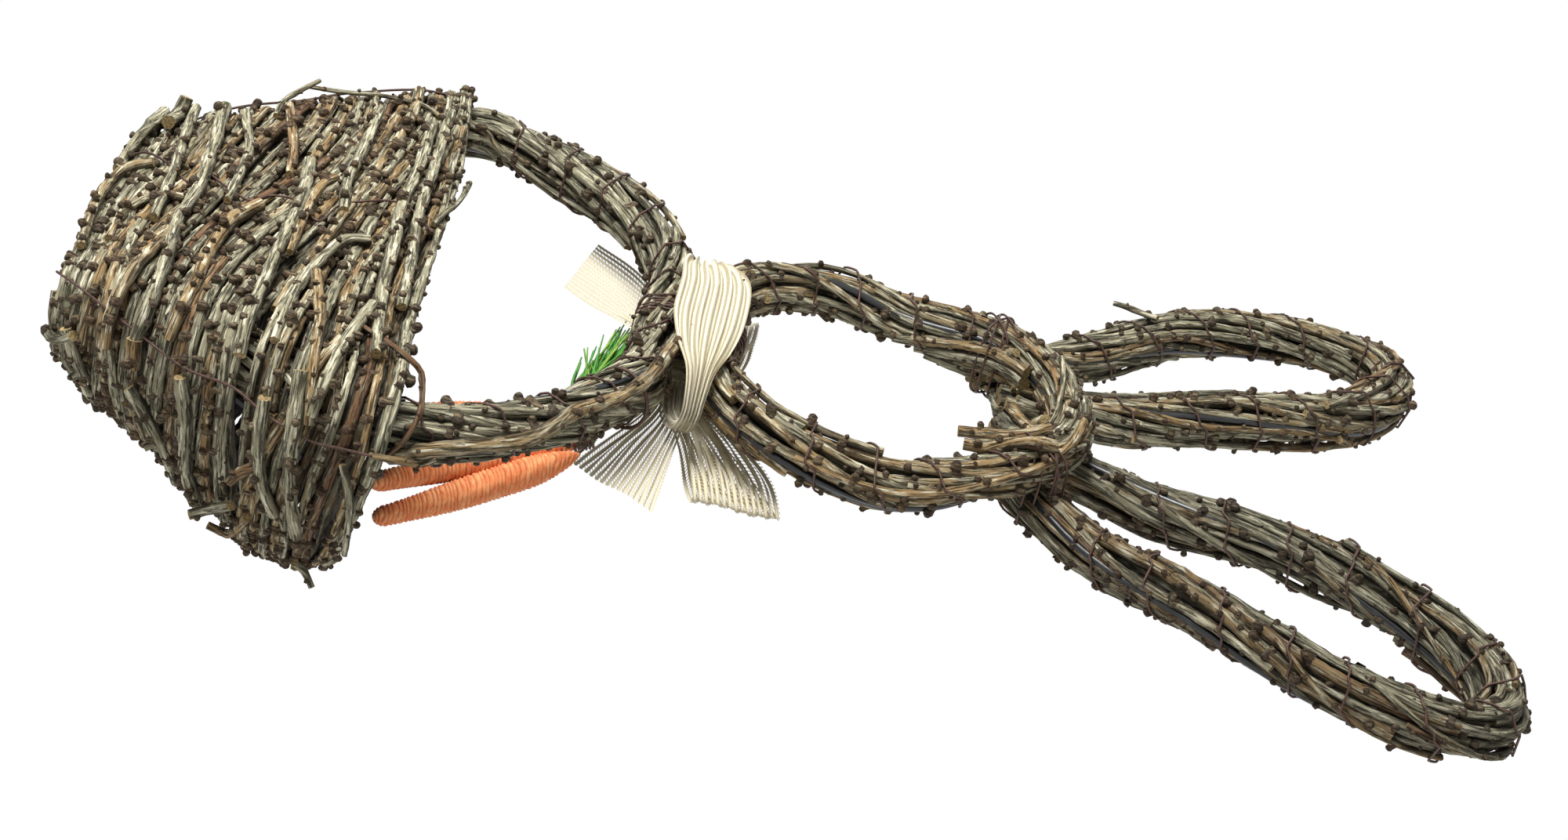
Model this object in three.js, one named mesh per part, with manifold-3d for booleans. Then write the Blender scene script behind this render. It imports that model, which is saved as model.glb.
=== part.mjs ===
// Hanging wall basket: a rabbit outline of bundled twigs that carries a wound twig pocket,
// a ribbon bow at the neck and a bunch of three twine carrots on a wire hook.
// Millimetres. +Z points up, +Y points to the wall, and +X is called right.
// The origin is where the wall hook carries the head hoop, under the top of the hoop.

import * as THREE from 'three';
import Module from 'manifold-3d';
import { mergeVertices } from 'three/addons/utils/BufferGeometryUtils.js';

// Clearances
const seatGap = 0.3;
const strandGap = 0.45;
const windingGap = 0.7;
const cutGap = 1.6;

// Twigs of the four bundles
const twigRadius = 4.2;
const twigCount = 5;
const twigTaperShare = 0.12;

// Body hoop, measured to the middle of its bundle
const hoopRadius = 140;
const neckDrop = 10;
const bodyLay = 2;

// Head hoop
const headHalfWidth = 76;
const headHeight = 155;
const headLean = 7.5;
const headLay = 1;

// Ears: half sizes of each loop, its tilt, and its middle seen from the top of the head
const leftEar = { side: -1, halfLength: 123, halfWidth: 36.5, outX: 74.5, rise: 68.5, tilt: 29.5 };
const rightEar = { side: 1, halfLength: 116, halfWidth: 33.5, outX: 83, rise: 55.5, tilt: 27.3 };
const earTaperShare = 0.46;
const earOpenShare = 0.86;
const earLay = 1;

// Wires
const bindingRadius = 0.8;
const bindingPitch = 42;
const tieRadius = 0.8;
const tieLoops = 3;
const tieSlack = 4.6;
const hookRadius = 1.1;

// Pocket
const windingRadius = 4.1;
const windingCount = 6;
const mouthHeight = 26;
const pocketHeight = 134;
const pocketLeftHalf = 89;
const pocketRightHalf = 66;
const pocketLean = 16;
const pocketDepth = 140;
const pocketBottomDepth = 57;
const rimTiltShare = 0.09;
const frameWireRadius = 2;

// Ribbon
const ribbonWidth = 38;
const ribbonThickness = 1.2;
const gatherWidth = 12;
const loopReach = 70;
const loopSwell = 9;
const loopRise = 30;
const tailReach = 88;
const tailDrop = 15;
const farTailDrop = 55;
const farTailForward = 10;
const knotLength = 18;
const knotOffset = -10;

// Carrots: length, thickest radius, and the wound twine
const carrotLength = 82;
const carrotRadius = 5.8;
const carrotFan = 13;
const twineLoops = 14;
const twineThickness = 2;
const stemRadius = 1.1;
const stemLength = 4;
const collarRadius = 5.5;
const collarForward = 28;
const collarDrop = 9;
const collarShift = 8;

// Greens
const bladeCount = 20;
const bladeLength = 72;
const bladeRadius = 1.5;

// Counts of faces
const twigSides = 5;
const bodySteps = 34;
const headSteps = 24;
const earSteps = 24;
const curlSteps = 8;
const bindingSides = 3;
const wireSides = 4;
const backSteps = 2;
const cornerSteps = 3;
const frontSteps = 10;
const turnSteps = backSteps + 2 * cornerSteps + frontSteps;

const TAU = Math.PI * 2;
const xAxis = new THREE.Vector3(1, 0, 0);
const yAxis = new THREE.Vector3(0, 1, 0);
const zAxis = new THREE.Vector3(0, 0, 1);

const wasm = await Module();
wasm.setup();

// Colours and finishes
const finishes = {
  twig: { color: 0x7f7868, roughness: 0.9, metalness: 0 },
  darkTwig: { color: 0x6a5a45, roughness: 0.9, metalness: 0 },
  frameWire: { color: 0x1c1d1c, roughness: 0.4, metalness: 0.1 },
  wire: { color: 0x5a4236, roughness: 0.55, metalness: 0.5 },
  ribbon: { color: 0xd9ceac, roughness: 0.95, metalness: 0 },
  carrot: { color: 0xdd7a3c, roughness: 0.8, metalness: 0 },
  greens: { color: 0x2f7a37, roughness: 0.7, metalness: 0 },
};

// The model stands in hoop coordinates, and this group moves the hook's place to the origin.
const part = new THREE.Group();
const placed = new THREE.Group();
part.add(placed);

function addPiece(name, geometry, finish) {
  const mesh = new THREE.Mesh(geometry, new THREE.MeshStandardMaterial(finishes[finish]));
  mesh.name = name;
  placed.add(mesh);
}

// General shapes

function clamp01(value) {
  return Math.min(Math.max(value, 0), 1);
}

function smooth(low, high, value) {
  const t = clamp01((value - low) / (high - low));
  return t * t * (3 - 2 * t);
}

function polygon(sides, radiusA, radiusB = radiusA, turn = 0) {
  const shape = [];
  for (let k = 0; k < sides; k += 1) {
    const angle = turn + (TAU * k) / sides;
    shape.push([radiusA * Math.cos(angle), radiusB * Math.sin(angle)]);
  }
  return shape;
}

function ringAt(centre, across, along, shape) {
  return shape.map(([a, b]) => centre.clone().addScaledVector(across, a).addScaledVector(along, b));
}

// One closed body from rings of equal count, with its faces turned out
function skin(rings) {
  const count = rings[0].length;
  const points = rings.flat();
  const faces = [];
  for (let j = 0; j + 1 < rings.length; j += 1) {
    for (let k = 0; k < count; k += 1) {
      const a = j * count + k;
      const b = j * count + ((k + 1) % count);
      faces.push([a, b, b + count], [a, b + count, a + count]);
    }
  }
  const last = (rings.length - 1) * count;
  let low = 0;
  let high = count - 1;
  while (low + 1 < high) {
    faces.push([high, low + 1, low], [last + low, last + low + 1, last + high]);
    low += 1;
    if (low + 1 < high) {
      faces.push([high, high - 1, low], [last + low, last + high - 1, last + high]);
    }
    high -= 1;
  }
  return closedBody(points, faces);
}

function closedBody(points, faces) {
  let volume = 0;
  for (const [a, b, c] of faces) {
    volume += points[a].dot(points[b].clone().cross(points[c]));
  }
  const ordered = volume < 0 ? faces.map(([a, b, c]) => [a, c, b]) : faces;
  const geometry = new THREE.BufferGeometry();
  geometry.setAttribute('position', new THREE.Float32BufferAttribute(points.flatMap((p) => p.toArray()), 3));
  geometry.setIndex(ordered.flat());
  geometry.computeVertexNormals();
  return geometry;
}

// Directions square to a line of points, carried along it without twist
function framesAlong(points, start) {
  const frames = [];
  let across = start.clone();
  for (let j = 0; j < points.length; j += 1) {
    const before = points[Math.max(j - 1, 0)];
    const after = points[Math.min(j + 1, points.length - 1)];
    const tangent = after.clone().sub(before).normalize();
    across = across.clone().addScaledVector(tangent, -across.dot(tangent)).normalize();
    frames.push({ across, along: new THREE.Vector3().crossVectors(tangent, across) });
  }
  return frames;
}

function tube(points, start, sectionAt) {
  const frames = framesAlong(points, start);
  return skin(points.map((p, j) => ringAt(p, frames[j].across, frames[j].along, sectionAt(j / (points.length - 1)))));
}

function roundTube(points, radius, sides, start = zAxis) {
  return tube(points, start, () => polygon(sides, radius));
}

function samples(steps, pointAt) {
  return Array.from({ length: steps + 1 }, (unused, j) => pointAt(j / steps));
}

// Least space between one turn of a winding and the next, measured on points of its middle line
function reportGap(name, points, stepsPerTurn, width) {
  let least = Infinity;
  for (let i = 0; i < points.length; i += 1) {
    for (let j = i + Math.floor(stepsPerTurn / 2); j + 1 < points.length; j += 1) {
      const line = new THREE.Line3(points[j], points[j + 1]);
      const nearest = line.closestPointToPoint(points[i], true, new THREE.Vector3());
      least = Math.min(least, nearest.distanceTo(points[i]));
    }
  }
  console.log(`${name}: least gap to itself ${(least - width).toFixed(2)} mm`);
}

function toSolid(geometry) {
  const bare = geometry.clone();
  bare.deleteAttribute('normal');
  bare.deleteAttribute('uv');
  const merged = mergeVertices(bare);
  const vertProperties = new Float32Array(merged.attributes.position.array);
  const triVerts = new Uint32Array(merged.index.array);
  return new wasm.Manifold(new wasm.Mesh({ numProp: 3, vertProperties, triVerts }));
}

function toGeometry(solid) {
  const mesh = solid.getMesh();
  const geometry = new THREE.BufferGeometry();
  geometry.setAttribute('position', new THREE.BufferAttribute(mesh.vertProperties, 3));
  geometry.setIndex(new THREE.BufferAttribute(mesh.triVerts, 1));
  geometry.computeVertexNormals();
  return geometry;
}

// Bundle of twigs: five round a core wire, each with an edge turned to the wire
const layRadius = (twigRadius + strandGap / 2) / Math.sin(Math.PI / twigCount);
const coreRadius = layRadius - twigRadius - seatGap;
const twigFace = Math.PI / twigSides;
const bundleRadius = Math.hypot(layRadius + twigRadius * Math.cos(twigFace), twigRadius * Math.sin(twigFace));
const curlWiden = 1 / Math.cos(Math.PI / curlSteps);

function bindingPathRadius(scale) {
  return (bundleRadius * scale + strandGap + bindingRadius) * curlWiden;
}

// Squeeze of the bundles where they are tied together, as shares of their full size
const neckSqueezeShare = 0.12;
const crossSqueezeShare = 0.22;
const neckScale = 1 - neckSqueezeShare;
const crossScale = 1 - crossSqueezeShare;
const boundNeckRadius = bindingPathRadius(neckScale) + bindingRadius;

// Pocket outline and its change from mouth to floor
const windingPitch = 2 * windingRadius + windingGap;
const windingTurns = Math.round(pocketHeight / windingPitch);
const floorHeight = mouthHeight - windingTurns * windingPitch;
const cornerWiden = 1 / Math.cos(Math.PI / (4 * cornerSteps));
const backSlope = Math.atan2(2 * pocketLean, mouthHeight - floorHeight);
const pocketBack = (bundleRadius / Math.cos(backSlope) + windingRadius) * cornerWiden + seatGap;
const hoopMouthX = Math.sqrt(hoopRadius ** 2 - mouthHeight ** 2);

// Each side of the pocket: its half width at the floor and its slope, and the hoop's place beside it
function pocketSide(bottomHalf) {
  const slope = Math.atan2(hoopMouthX + pocketBack - bottomHalf, mouthHeight - floorHeight);
  const clearance = (bundleRadius / Math.cos(slope) / Math.cos(backSlope) + windingRadius) * cornerWiden + seatGap;
  return { bottomHalf, slope, clearance, topHalf: hoopMouthX + clearance };
}

const leftSide = pocketSide(pocketLeftHalf);
const rightSide = pocketSide(pocketRightHalf);

function pocketShareAt(z) {
  return (mouthHeight - z) / (mouthHeight - floorHeight);
}

function pocketHalfAt(z, side) {
  return THREE.MathUtils.lerp(side.topHalf, side.bottomHalf, pocketShareAt(z));
}

// How far the pocket and the hoop's arms in it stand forward at a height
function pocketLeanAt(z) {
  return -pocketLean * clamp01(pocketShareAt(z)) ** 2;
}

const frontBowShare = 0.15;

function pocketDepthAt(z) {
  const k = pocketShareAt(z);
  return THREE.MathUtils.lerp(pocketDepth, pocketBottomDepth, k * (1 + frontBowShare) - k * k * frontBowShare);
}

function hoopSideAt(z, side) {
  return pocketHalfAt(z, side) - side.clearance;
}

const backPart = backSteps / turnSteps;
const cornerPart = cornerSteps / turnSteps;
const frontStart = backPart + cornerPart;
const frontEnd = 1 - cornerPart;

// A level line of the pocket: straight back, round corners behind the hoop, bulging front
function pocketPoint(fraction, z, grow) {
  const left = pocketHalfAt(z, leftSide) + grow;
  const right = pocketHalfAt(z, rightSide) + grow;
  const back = pocketBack + grow;
  const front = pocketDepthAt(z) + grow;
  const f = fraction - Math.floor(fraction);
  const point = new THREE.Vector3(0, 0, z);
  if (f < backPart) {
    point.x = THREE.MathUtils.lerp(right - back, back - left, f / backPart);
    point.y = back;
  } else if (f < frontStart) {
    const angle = (Math.PI / 2) * (1 + (f - backPart) / cornerPart);
    point.x = back - left + back * Math.cos(angle);
    point.y = back * Math.sin(angle);
  } else if (f < frontEnd) {
    const angle = (Math.PI * (f - frontStart)) / (frontEnd - frontStart);
    point.x = -(angle < Math.PI / 2 ? left : right) * Math.cos(angle);
    point.y = -front * Math.sin(angle);
  } else {
    const angle = ((Math.PI / 2) * (f - frontEnd)) / cornerPart;
    point.x = right - back + back * Math.cos(angle);
    point.y = back * Math.sin(angle);
  }
  const tilt = rimTiltShare * (1 - clamp01(pocketShareAt(z)));
  point.z += tilt * Math.min(point.y, 0);
  point.y += pocketLeanAt(z);
  return point;
}

// Outline of a hoop: its right half runs from the bottom to the top, and its left half back down.
// The frame gives the place, the way out of the hoop and the way to the wall.
function hoopFrames(rightPath, leftPath, leanAt, scaleAt) {
  const pointAt = (u) => {
    const w = u - Math.floor(u);
    const flat = w <= 0.5 ? rightPath.getPointAt(2 * w) : leftPath.getPointAt(2 - 2 * w);
    return new THREE.Vector3(w <= 0.5 ? flat.x : -flat.x, leanAt(flat.y), flat.y);
  };
  return { length: rightPath.getLength() + leftPath.getLength(), ...frameMaker(pointAt), scaleAt };
}

function frameMaker(pointAt) {
  const nudge = 0.001;
  const frameAt = (u) => {
    const tangent = pointAt(u + nudge).sub(pointAt(u - nudge)).normalize();
    const wall = yAxis.clone().addScaledVector(tangent, -tangent.y).normalize();
    return { point: pointAt(u), out: new THREE.Vector3().crossVectors(wall, tangent), wall, tangent };
  };
  return { pointAt, frameAt };
}

// Body hoop: straight tapered sides inside the pocket, a round top and a flat at the neck
const hoopFloor = floorHeight + windingRadius + seatGap + bundleRadius;
const neckHeight = hoopRadius - neckDrop;
const arcStart = THREE.MathUtils.degToRad(14);
const arcEnd = THREE.MathUtils.degToRad(62);
const cornerRun = 3 * bundleRadius;

const leadShare = 0.25;
const flatShare = 0.7;

function bodyHalfPath(side) {
  const path = new THREE.CurvePath();
  const sideStart = new THREE.Vector2(hoopSideAt(hoopFloor + cornerRun, side), hoopFloor + cornerRun);
  const arcFoot = new THREE.Vector2(hoopRadius * Math.cos(arcStart), hoopRadius * Math.sin(arcStart));
  const bend = mouthBend(arcFoot, side);
  const sideEnd = new THREE.Vector2(hoopSideAt(bend.y - cornerRun, side), bend.y - cornerRun);
  const foot = new THREE.Vector2(hoopSideAt(hoopFloor, side), hoopFloor);
  const footRun = new THREE.Vector2(foot.x - cornerRun, hoopFloor);
  const arcHead = new THREE.Vector2(hoopRadius * Math.cos(arcEnd), hoopRadius * Math.sin(arcEnd));
  path.add(new THREE.LineCurve(new THREE.Vector2(0, hoopFloor), footRun));
  path.add(new THREE.QuadraticBezierCurve(footRun, foot, sideStart));
  path.add(new THREE.LineCurve(sideStart, sideEnd));
  path.add(new THREE.QuadraticBezierCurve(sideEnd, bend, arcFoot));
  path.add(new THREE.EllipseCurve(0, 0, hoopRadius, hoopRadius, arcStart, arcEnd));
  const lead = new THREE.Vector2(-Math.sin(arcEnd), Math.cos(arcEnd)).multiplyScalar(arcHead.x * leadShare).add(arcHead);
  const flatStart = new THREE.Vector2(arcHead.x * flatShare, neckHeight);
  path.add(new THREE.CubicBezierCurve(arcHead, lead, flatStart, new THREE.Vector2(0, neckHeight)));
  return path;
}

// Where the line of the pocket's side meets the tangent at the foot of the arc
function mouthBend(arcFoot, side) {
  const dx = Math.sin(arcStart);
  const dz = -Math.cos(arcStart);
  const slope = Math.tan(side.slope);
  const run = (hoopSideAt(arcFoot.y, side) - arcFoot.x) / (dx - dz * slope);
  return new THREE.Vector2(arcFoot.x + dx * run, arcFoot.y + dz * run);
}

const neckRunShares = [0.03, 0.09];
const bodyScaleAt = (u) => 1 - neckSqueezeShare * (1 - smooth(...neckRunShares, Math.abs(u - 0.5)));
const body = hoopFrames(bodyHalfPath(rightSide), bodyHalfPath(leftSide), pocketLeanAt, bodyScaleAt);

// Head hoop: its foot rests on the body hoop at the neck, and its top leans to the wall behind the ears
const headFoot = neckHeight + 2 * boundNeckRadius + strandGap;
const headTop = headFoot + headHeight;
const headWidestShare = 0.45;
const headMiddle = headFoot + headHeight * headWidestShare;
const footFlatShare = 0.3;
const roundShare = 0.56;

function headHalfPath() {
  const path = new THREE.CurvePath();
  const side = new THREE.Vector2(headHalfWidth, headMiddle);
  const footReach = headHalfWidth * footFlatShare;
  path.add(new THREE.LineCurve(new THREE.Vector2(0, headFoot), new THREE.Vector2(footReach, headFoot)));
  path.add(new THREE.CubicBezierCurve(
    new THREE.Vector2(footReach, headFoot),
    new THREE.Vector2(THREE.MathUtils.lerp(footReach, headHalfWidth, roundShare), headFoot),
    new THREE.Vector2(headHalfWidth, THREE.MathUtils.lerp(headMiddle, headFoot, roundShare)),
    side,
  ));
  path.add(new THREE.CubicBezierCurve(
    side,
    new THREE.Vector2(headHalfWidth, THREE.MathUtils.lerp(headMiddle, headTop, roundShare)),
    new THREE.Vector2(headHalfWidth * roundShare, headTop),
    new THREE.Vector2(0, headTop),
  ));
  return path;
}

const leanShares = [0.3, 0.72];
const footRunShares = [0.05, 0.12];
const crossRunShares = [0.15, 0.2];
const headLeanAt = (z) => headLean * smooth(...leanShares, (z - headFoot) / headHeight);
const headScaleAt = (u) => {
  const w = u - Math.floor(u);
  const atCross = crossSqueezeShare * (1 - smooth(...crossRunShares, Math.abs(w - 0.5)));
  const atFoot = neckSqueezeShare * (1 - smooth(...footRunShares, Math.min(w, 1 - w)));
  return 1 - atCross - atFoot;
};
const head = hoopFrames(headHalfPath(), headHalfPath(), headLeanAt, headScaleAt);

// Ears: drop-shaped loops whose two ends lie side by side in front of the head hoop's top
const earForward = 2 * bundleRadius * crossScale + strandGap - headLean;
const earRampShares = [-0.5, 0.15];
const earRunShares = [0.17, 0.25];

function earFrames({ side, halfLength, halfWidth, outX, rise, tilt }) {
  const lean = THREE.MathUtils.degToRad(tilt);
  const axis = new THREE.Vector3(Math.sin(lean), 0, Math.cos(lean));
  const outward = new THREE.Vector3(Math.cos(lean), 0, -Math.sin(lean));
  const middle = new THREE.Vector3(outX, 0, headTop + rise);
  const openAngle = Math.acos(earOpenShare);
  const curve = new THREE.Curve();
  curve.getPoint = (t) => {
    const angle = openAngle + t * (TAU - 2 * openAngle);
    const alongShare = -Math.cos(angle);
    const across = -halfWidth * Math.sin(angle) * (1 - earTaperShare * Math.cos(angle));
    const point = middle.clone().addScaledVector(axis, halfLength * alongShare).addScaledVector(outward, across);
    point.y = -earForward * (1 - smooth(...earRampShares, alongShare));
    point.x *= side;
    return point;
  };
  const pointAt = (u) => curve.getPointAt(clamp01(u));
  const scaleAt = (u) => 1 - crossSqueezeShare * (1 - smooth(...earRunShares, Math.min(u, 1 - u)));
  return { length: curve.getLength(), ...frameMaker(pointAt), scaleAt };
}

// Pieces of a bundle: core wire, twigs and the spiral binding

function strand(hoop, from, to, steps, lay, phase, reach, radius) {
  return skin(samples(steps, (t) => {
    const u = from + (to - from) * t;
    const { point, out, wall } = hoop.frameAt(u);
    const squeeze = hoop.scaleAt(u - Math.floor(u));
    const angle = phase + TAU * lay * u;
    const middle = point.clone()
      .addScaledVector(out, squeeze * reach * Math.cos(angle))
      .addScaledVector(wall, squeeze * reach * Math.sin(angle));
    const thickness = radius * squeeze * (1 - twigTaperShare * t);
    return ringAt(middle, out, wall, polygon(twigSides, thickness, thickness, reach ? angle + Math.PI : angle));
  }));
}

// An even count of turns brings the wire between the two hoops at the neck
function bindingCurls(hoop, from, to) {
  return 2 * Math.round(((to - from) * hoop.length) / bindingPitch / 2);
}

function bindingPoints(hoop, from, to) {
  const curls = bindingCurls(hoop, from, to);
  return samples(curls * curlSteps, (t) => {
    const u = from + (to - from) * t;
    const { point, out, wall } = hoop.frameAt(u);
    const angle = TAU * curls * t;
    const reach = bindingPathRadius(hoop.scaleAt(u));
    return point.addScaledVector(out, reach * Math.cos(angle)).addScaledVector(wall, reach * Math.sin(angle));
  });
}

// A closed bundle's twigs start and end at different stations, so that the joints are spread out
function addBundle(name, hoop, { steps, lay, joints, boundFrom, boundTo }) {
  const closed = joints.length > 0;
  const gapShare = cutGap / hoop.length / 2;
  const add = (piece, station, phase, reach, radius, finish) => {
    const from = closed ? station / steps + gapShare : 0;
    const to = closed ? station / steps + 1 - gapShare : 1;
    addPiece(`${name}_${piece}`, strand(hoop, from, to, steps, lay, phase, reach, radius), finish);
  };
  add('core_wire', 0, 0, 0, coreRadius, 'frameWire');
  for (let k = 0; k < twigCount; k += 1) {
    add(`twig_${k + 1}`, joints[k], (TAU * k) / twigCount, layRadius, twigRadius, k % 2 ? 'darkTwig' : 'twig');
  }
  const points = bindingPoints(hoop, boundFrom, boundTo);
  addPiece(`${name}_binding`, roundTube(points, bindingRadius, bindingSides), 'wire');
  reportGap(`${name}_binding`, points, curlSteps, 2 * bindingRadius);
}

// The first place up a hoop from its foot where a test holds on both sides
function shareWhere(hoop, holds) {
  const tries = 500;
  for (let k = 0; k < tries; k += 1) {
    const u = (0.5 * k) / tries;
    if (holds(hoop.pointAt(u)) && holds(hoop.pointAt(1 - u))) {
      return u;
    }
  }
  return 0.5;
}

const bodyJoints = [1, 32, 3, 33, 30];
const headJoints = [5, 20, 3, 22, 18];
const headBoundShare = 0.33;
const earBoundShare = 0.2;
const aboveMouth = mouthHeight + windingRadius + seatGap + 2 * bindingRadius;
const bodyBoundShare = shareWhere(body, (p) => p.z > aboveMouth);
const earRight = earFrames(rightEar);
const earLeft = earFrames(leftEar);

addBundle('body', body, {
  steps: bodySteps, lay: bodyLay, joints: bodyJoints, boundFrom: bodyBoundShare, boundTo: 1 - bodyBoundShare,
});
addBundle('head', head, {
  steps: headSteps, lay: headLay, joints: headJoints, boundFrom: -headBoundShare, boundTo: headBoundShare,
});
for (const [name, ear] of [['ear_left', earLeft], ['ear_right', earRight]]) {
  addBundle(name, ear, {
    steps: earSteps, lay: earLay, joints: [], boundFrom: earBoundShare, boundTo: 1 - earBoundShare,
  });
}

// Pocket: one long twig after another, wound round the hoop's arms and the front wires

function windingPoints(from, to) {
  const steps = Math.round((to - from) * turnSteps);
  return samples(steps, (t) => {
    const turn = from + (to - from) * t;
    return pocketPoint(turn, mouthHeight - turn * windingPitch, 0);
  });
}

// Turns left out round the eye in the middle of the floor
const floorEyeTurns = 1.4;

function addPocket() {
  const cutTurns = cutGap / pocketDepth;
  for (let k = 0; k < windingCount; k += 1) {
    const from = Math.round((k * windingTurns * turnSteps) / windingCount) / turnSteps;
    const to = Math.round(((k + 1) * windingTurns * turnSteps) / windingCount) / turnSteps;
    const points = windingPoints(from + cutTurns / 2, to - cutTurns / 2);
    addPiece(`pocket_winding_${k + 1}`, roundTube(points, windingRadius, twigSides), k % 2 ? 'darkTwig' : 'twig');
    reportGap(`pocket_winding_${k + 1}`, points, turnSteps, 2 * windingRadius);
  }

  // The floor follows the outline, drawn in towards its middle at each turn
  const halfDepth = (pocketBack + pocketBottomDepth) / 2;
  const shift = (pocketRightHalf - pocketLeftHalf) / 2;
  const middle = new THREE.Vector3(shift, pocketBack - halfDepth + pocketLeanAt(floorHeight), floorHeight);
  const floorStations = Math.floor(((halfDepth - windingGap) / windingPitch - floorEyeTurns) * turnSteps);
  const floorTurns = floorStations / turnSteps;
  const floorPoints = samples(floorStations, (t) => {
    const inset = windingPitch * (1 + floorTurns * t) + windingGap;
    return pocketPoint(floorTurns * t, floorHeight, 0).lerp(middle, inset / halfDepth);
  });
  addPiece('pocket_floor_winding', roundTube(floorPoints, windingRadius, twigSides), 'darkTwig');
  reportGap('pocket_floor_winding', floorPoints, turnSteps, 2 * windingRadius);
}

// Wires that carry the windings: one behind the rim, and ribs from there to the floor
const rimSlope = Math.atan(((pocketDepth - pocketBottomDepth) * (1 + frontBowShare)) / (mouthHeight - floorHeight));
const rimInset = windingRadius + seatGap + frameWireRadius;
const ribInset = rimInset / Math.cos(rimSlope);
const ribStations = [3, 5, 7];
const rimStations = frontSteps - 2;
const ribSteps = 8;

function addPocketWires() {
  const rimPoints = samples(rimStations, (t) => {
    const fraction = frontStart + (1 + rimStations * t) / turnSteps;
    return pocketPoint(fraction, mouthHeight - fraction * windingPitch, -rimInset);
  });
  addPiece('pocket_rim_wire', roundTube(rimPoints, frameWireRadius, twigSides), 'frameWire');
  ribStations.forEach((station, k) => {
    const fraction = frontStart + station / turnSteps;
    const top = mouthHeight - fraction * windingPitch - 2 * frameWireRadius - seatGap;
    const bottom = floorHeight + windingRadius + seatGap + frameWireRadius;
    const points = samples(ribSteps, (t) => pocketPoint(fraction, THREE.MathUtils.lerp(top, bottom, t), -ribInset));
    addPiece(`pocket_rib_${k + 1}`, roundTube(points, frameWireRadius, twigSides, xAxis), 'frameWire');
  });
}

// Thin wires laced down the outside, at both back corners and down the back
const laceSteps = 12;
const laceWaves = 3;
const laceWaveShare = 0.03;
const laceShares = {
  left: [frontStart, backPart + 0.3 * cornerPart],
  back: [0.35 * backPart, 0.25 * backPart],
  right: [1, 1 - 0.7 * cornerPart],
};

// The side of a winding's section lies a little inside its radius
const windingFace = Math.sin(TAU / twigSides);

function addLacing() {
  const proud = windingRadius * windingFace + strandGap + tieRadius;
  for (const [name, [top, bottom]] of Object.entries(laceShares)) {
    const wave = name === 'back' ? laceWaveShare : 0;
    const points = samples(laceSteps, (t) => {
      const fraction = THREE.MathUtils.lerp(top, bottom, t) + wave * Math.sin(TAU * laceWaves * t);
      return pocketPoint(fraction, THREE.MathUtils.lerp(mouthHeight, floorHeight, t), proud);
    });
    addPiece(`pocket_lacing_${name}`, roundTube(points, tieRadius, wireSides, xAxis), 'wire');
  }
}

addPocket();
addPocketWires();
addLacing();

// Ties: loops of wire round two bundles, in the plane that the two directions span with the wall
const tieSteps = 10;
const tieWiden = 1 / Math.cos(Math.PI / tieSteps);
const tiePitch = 2 * tieRadius + strandGap + seatGap;
const ovalShare = 0.66;

function ovalLoops(middle, normal, sideways, up, halfSide, halfUp) {
  const spread = (value) => Math.sign(value) * Math.abs(value) ** ovalShare;
  return samples(tieLoops * tieSteps, (t) => {
    const angle = TAU * tieLoops * t;
    const shift = tiePitch * tieLoops * (t - 0.5);
    return middle.clone()
      .addScaledVector(normal, shift)
      .addScaledVector(sideways, halfSide * spread(Math.cos(angle)))
      .addScaledVector(up, halfUp * spread(Math.sin(angle)));
  });
}

const neckTieHalf = (bundleRadius * neckScale + strandGap + tieRadius) * tieWiden;

function addNeckTie() {
  const middle = new THREE.Vector3(0, 0, (neckHeight + headFoot) / 2);
  const points = ovalLoops(middle, xAxis, yAxis, zAxis, neckTieHalf, (headFoot - neckHeight) / 2 + neckTieHalf);
  addPiece('neck_tie_wire', roundTube(points, tieRadius, wireSides, xAxis), 'wire');
  reportGap('neck_tie_wire', points, tieSteps, 2 * tieRadius);
}

// Where an ear's outer arm crosses the top of the head hoop, seen from the wall
function crossing(ear) {
  const best = { distance: Infinity };
  for (let i = 0; i <= 200; i += 1) {
    const u = 0.7 + (0.3 * i) / 200;
    const onEar = ear.pointAt(u);
    for (let j = 0; j <= 200; j += 1) {
      const v = 0.3 + (0.4 * j) / 200;
      const onHead = head.pointAt(v);
      const distance = Math.hypot(onEar.x - onHead.x, onEar.z - onHead.z);
      if (distance < best.distance) {
        Object.assign(best, { distance, u, v });
      }
    }
  }
  return best;
}

function addEarTie(name, ear) {
  const { u, v } = crossing(ear);
  const earFrame = ear.frameAt(u);
  const headFrame = head.frameAt(v);
  const along = headFrame.tangent.clone();
  if (along.dot(earFrame.tangent) < 0) {
    along.negate();
  }
  const halfAngle = along.angleTo(earFrame.tangent) / 2;
  const normal = along.add(earFrame.tangent).setY(0).normalize();
  const sideways = new THREE.Vector3().crossVectors(yAxis, normal);
  const middle = earFrame.point.clone().add(headFrame.point).multiplyScalar(0.5);
  const apart = (headFrame.point.y - earFrame.point.y) / 2;
  const stack = apart + (bundleRadius * crossScale + strandGap + tieRadius) * tieWiden;
  const spread = tiePitch * (tieLoops / 2) * Math.tan(halfAngle);
  const halfSide = (bundleRadius * crossScale) / Math.cos(halfAngle) + spread + tieSlack + tieRadius;
  const points = ovalLoops(middle, normal, sideways, yAxis, halfSide, stack);
  addPiece(`${name}_tie_wire`, roundTube(points, tieRadius, wireSides, normal), 'wire');
  reportGap(`${name}_tie_wire`, points, tieSteps, 2 * tieRadius);
}

addNeckTie();
addEarTie('ear_left', earLeft);
addEarTie('ear_right', earRight);

// Ribbon: strips with folds along their length, drawn together where they are gathered
const foldPoints = 5;
const foldShare = 0.5;
const wrapSteps = 24;
const loopSteps = 12;
const tailSteps = 7;

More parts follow.
